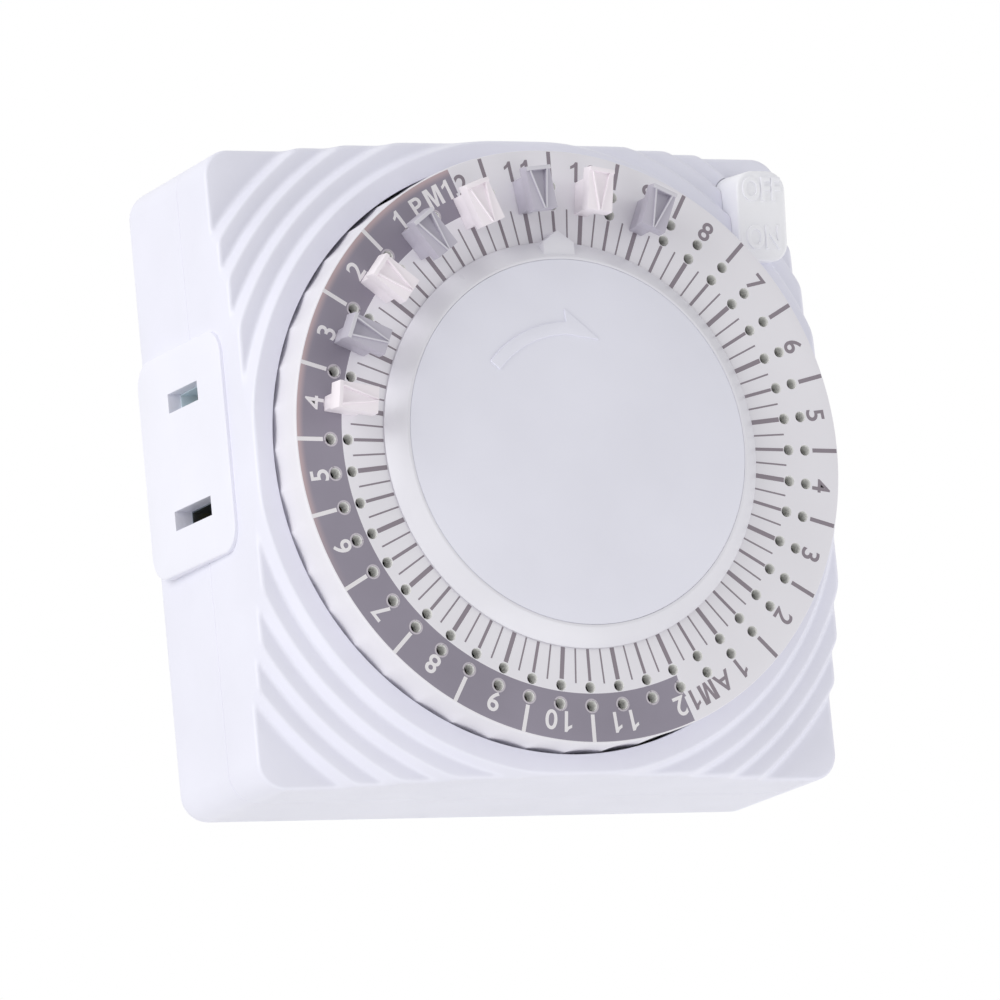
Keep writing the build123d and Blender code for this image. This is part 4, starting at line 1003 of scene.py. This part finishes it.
def tripper_pin(notch_drop):
    """One tripper at the top of the dial."""
    facet, bar_r = HEAD_TOP - FACET_DROP, HEAD_OUT - HEAD_BAR
    side = ((HEAD_FOOT, HEAD_IN), (facet, HEAD_IN), (facet, bar_r), (HEAD_TOP, bar_r), (HEAD_TOP, HEAD_OUT),
            (HEAD_FOOT, HEAD_OUT + HEAD_LEAN))
    count = len(side)
    head = mesh_piece("pin", [(x, -d, z) for x in (-HEAD_HALF, HEAD_HALF) for d, z in side],
                      [tuple(range(count)), tuple(range(count, 2 * count))] +
                      [(i, (i + 1) % count, count + (i + 1) % count, count + i) for i in range(count)])
    notch_half, apex = HEAD_HALF - HEAD_BAR, HEAD_IN + 0.4
    corners = ((-notch_half, bar_r, facet - notch_drop), (notch_half, bar_r, facet - notch_drop),
               (0, apex, facet - 0.04))
    notch = mesh_piece("notch", [(x, -HEAD_TOP - 1, z) for x, z, _ in corners] + [(x, -d, z) for x, z, d in corners],
                       [(0, 1, 2), (3, 4, 5), (0, 1, 4, 3), (1, 2, 5, 4), (2, 0, 3, 5)])
    combine(head, notch)
    soften(head, 0.06, 28, 2)
    pieces = [head]
    for way in (-1, 1):
        ridge = ((way * (notch_half - RIDGE), bar_r + 0.1), (way * (notch_half + RIDGE), bar_r + 0.1),
                 (way * 1.6 * RIDGE, HEAD_IN + 0.02), (0, HEAD_IN + 0.02))
        pieces.append(prism("ridge", ridge, facet - notch_drop, HEAD_TOP - RIDGE_DROP))
        soften(pieces[-1], 0.05, 40, 2)
    pieces.append(block("stem", (-STEM_HALF, -HEAD_FOOT - 0.1, STEM_IN), (STEM_HALF, -FACE, STEM_OUT)))
    soften(pieces[-1], 0.08, 40, 2)
    for r in HOLE_CIRCLES:
        pieces.append(rod("prong", (0, -(FACE + PRONG_END) / 2 - 0.05, r), PRONG_R, FACE - PRONG_END + 0.1, 1, 20))
    pick(head)
    for piece in pieces[1:]:
        piece.select_set(True)
    bpy.ops.object.join()
    return head


first_pins = {colour: tripper_pin(drop) for colour, drop in NOTCH_DROP.items()}
for label, colour in TRIPPERS.items():
    pin = bpy.data.objects.new("pin_" + label, first_pins[colour].data.copy())
    pin.data.name = pin.name
    bpy.context.collection.objects.link(pin)
    pin.data.transform(Matrix.Rotation(radians(hour_angle(HOUR_OF[label])), 4, "Y"))
    dress(pin, tripper_finish[colour], "tripper_" + label, 30, ["tripper_" + label])
    # Painted highlight on the gray ones: faces near the top of the head take the paler gray.
    if colour == "gray":
        pin.data.materials.append(gray_painted_highlight)
        for polygon in pin.data.polygons:
            if polygon.center.y < -(HEAD_TOP - HIGHLIGHT_DEPTH) * MM:
                polygon.material_index = 1
for pin in first_pins.values():
    bpy.data.objects.remove(pin)

# ---- Rocker ----
# White moulded button that tilts on a steel axle and switches by hand.  OFF and ON stand on it in thin raised
# strokes, and at rest its OFF end stands out.
ROCKER_TOP, ROCKER_SKIRT, ROCKER_STEM, ROCKER_STEM_END = 28.5, 22.4, 2.0, 17.4
ROCKER_TILT = 5.5
ROCKER_PIN_Y = -24.6
PIVOT_Z = 26.6  # the axle, a little below the middle of the button
AXLE_HOLE_R = 0.85
FACE_BREAK = 0.35
LETTER_RISE = 0.14
LETTER_SIZE = 2.7
LETTER_TALL = 1.3
LETTER_BOLD = 0.01
LETTER_ROUND = 0.06
WORDS = (("OFF", 3.0), ("ON", -2.3))

rocker_white = moulded_plastic("rocker_white_plastic", (249, 249, 255), 0.32)
rocker = block("rocker_button", (ROCKER_X - ROCKER_W / 2, -ROCKER_TOP, ROCKER_Z - ROCKER_L / 2),
               (ROCKER_X + ROCKER_W / 2, -ROCKER_SKIRT, ROCKER_Z + ROCKER_L / 2), 1, ROCKER_R, 10)
work(rocker, "EDGE", lambda e: all(abs(v.co.y + ROCKER_TOP * MM) < 1e-6 for v in e.verts), bpy.ops.mesh.bevel,
     offset=FACE_BREAK * MM, segments=4, affect="EDGES", clamp_overlap=False)
combine(rocker, block("stem", (ROCKER_X - ROCKER_STEM, -ROCKER_SKIRT - 0.5, PIVOT_Z - ROCKER_STEM / 2),
                      (ROCKER_X + ROCKER_STEM, -ROCKER_STEM_END, PIVOT_Z + ROCKER_STEM / 2)), "UNION")
combine(rocker, rod("axle_hole", (ROCKER_X, ROCKER_PIN_Y, PIVOT_Z), AXLE_HOLE_R, 2 * ROCKER_W, 0, 32))
pivot = Vector((0, ROCKER_PIN_Y, PIVOT_Z)) * MM
rock = Matrix.Translation(pivot) @ Matrix.Rotation(radians(ROCKER_TILT), 4, "X") @ Matrix.Translation(-pivot)
letters = []
for words, rise_z in WORDS:
    text = lettering(words, LETTER_SIZE, LETTER_BOLD, LETTER_RISE, LETTER_ROUND)
    text.data.transform(Matrix.Diagonal((1, LETTER_TALL, 1, 1)))
    spot = Matrix.Translation(Vector((ROCKER_X, -ROCKER_TOP, ROCKER_Z + rise_z)) * MM)
    text.data.transform(spot @ FACE_UP)
    letters.append(text)
pick(rocker)
for text in letters:
    text.select_set(True)
bpy.ops.object.join()
rocker.data.transform(rock)
dress(rocker, rocker_white, "rocker", 30, ["rocker"])

# ---- Mechanism ----
# Everything inside keeps the shape it is made in: acetal gears and lever, the mechanism plate and hub post in
# filled plastic, brass contacts, the steel motor cup, its bobbin and the copper coil.
plate_plastic = moulded_plastic("plate_filled_plastic", (196, 196, 190), 0.5, 0.04, 0.01)
gear_acetal = moulded_plastic("gear_acetal", (232, 228, 214), 0.35, 0.03)
contact_brass = drawn_metal("contact_brass", (196, 158, 92), 0.28)
motor_steel = drawn_metal("motor_steel", (150, 152, 156), 0.34, (1.0, 1.0, 1.0))
contact_silver = drawn_metal("contact_silver", (214, 214, 210), 0.3, (1.0, 1.0, 1.0))


def wound_coil():
    """Enamelled copper wire, wound in even turns about the motor's shaft."""
    finish = drawn_metal("coil_copper_wire", (172, 92, 48), 0.3, (1.0, 1.0, 1.0))
    nodes, links = finish.node_tree.nodes, finish.node_tree.links
    coords = next(n for n in nodes if n.type == "TEX_COORD")
    turns_of_wire = nodes.new("ShaderNodeTexWave")
    turns_of_wire.bands_direction = "Y"
    turns_of_wire.inputs["Scale"].default_value = 1100.0
    links.new(coords.outputs["Object"], turns_of_wire.inputs["Vector"])
    relief = nodes.new("ShaderNodeBump")
    relief.inputs["Distance"].default_value = 0.06 * MM
    links.new(turns_of_wire.outputs["Fac"], relief.inputs["Height"])
    links.new(relief.outputs[0], nodes["Principled BSDF"].inputs["Normal"])
    return finish


INSIDE = {
    plate_plastic: ("mechanism_plate", "hub_post", "switch_block", "motor_bobbin"),
    gear_acetal: ("drive_gear", "idler_gear", "motor_rotor", "trip_lever"),
    contact_brass: ("outlet_contact_live", "outlet_contact_neutral", "contact_spring", "fixed_contact",
                    "override_leaf"),
    motor_steel: ("motor_case", "rocker_pin"),
    contact_silver: ("contact_tips",),
    wound_coil(): ("motor_coil",),
}
for finish, nodes in INSIDE.items():
    for node in nodes:
        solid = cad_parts[node]
        if not solid.material_slots:
            solid.data.materials.append(finish)
        for place in solid.material_slots:
            place.material = finish
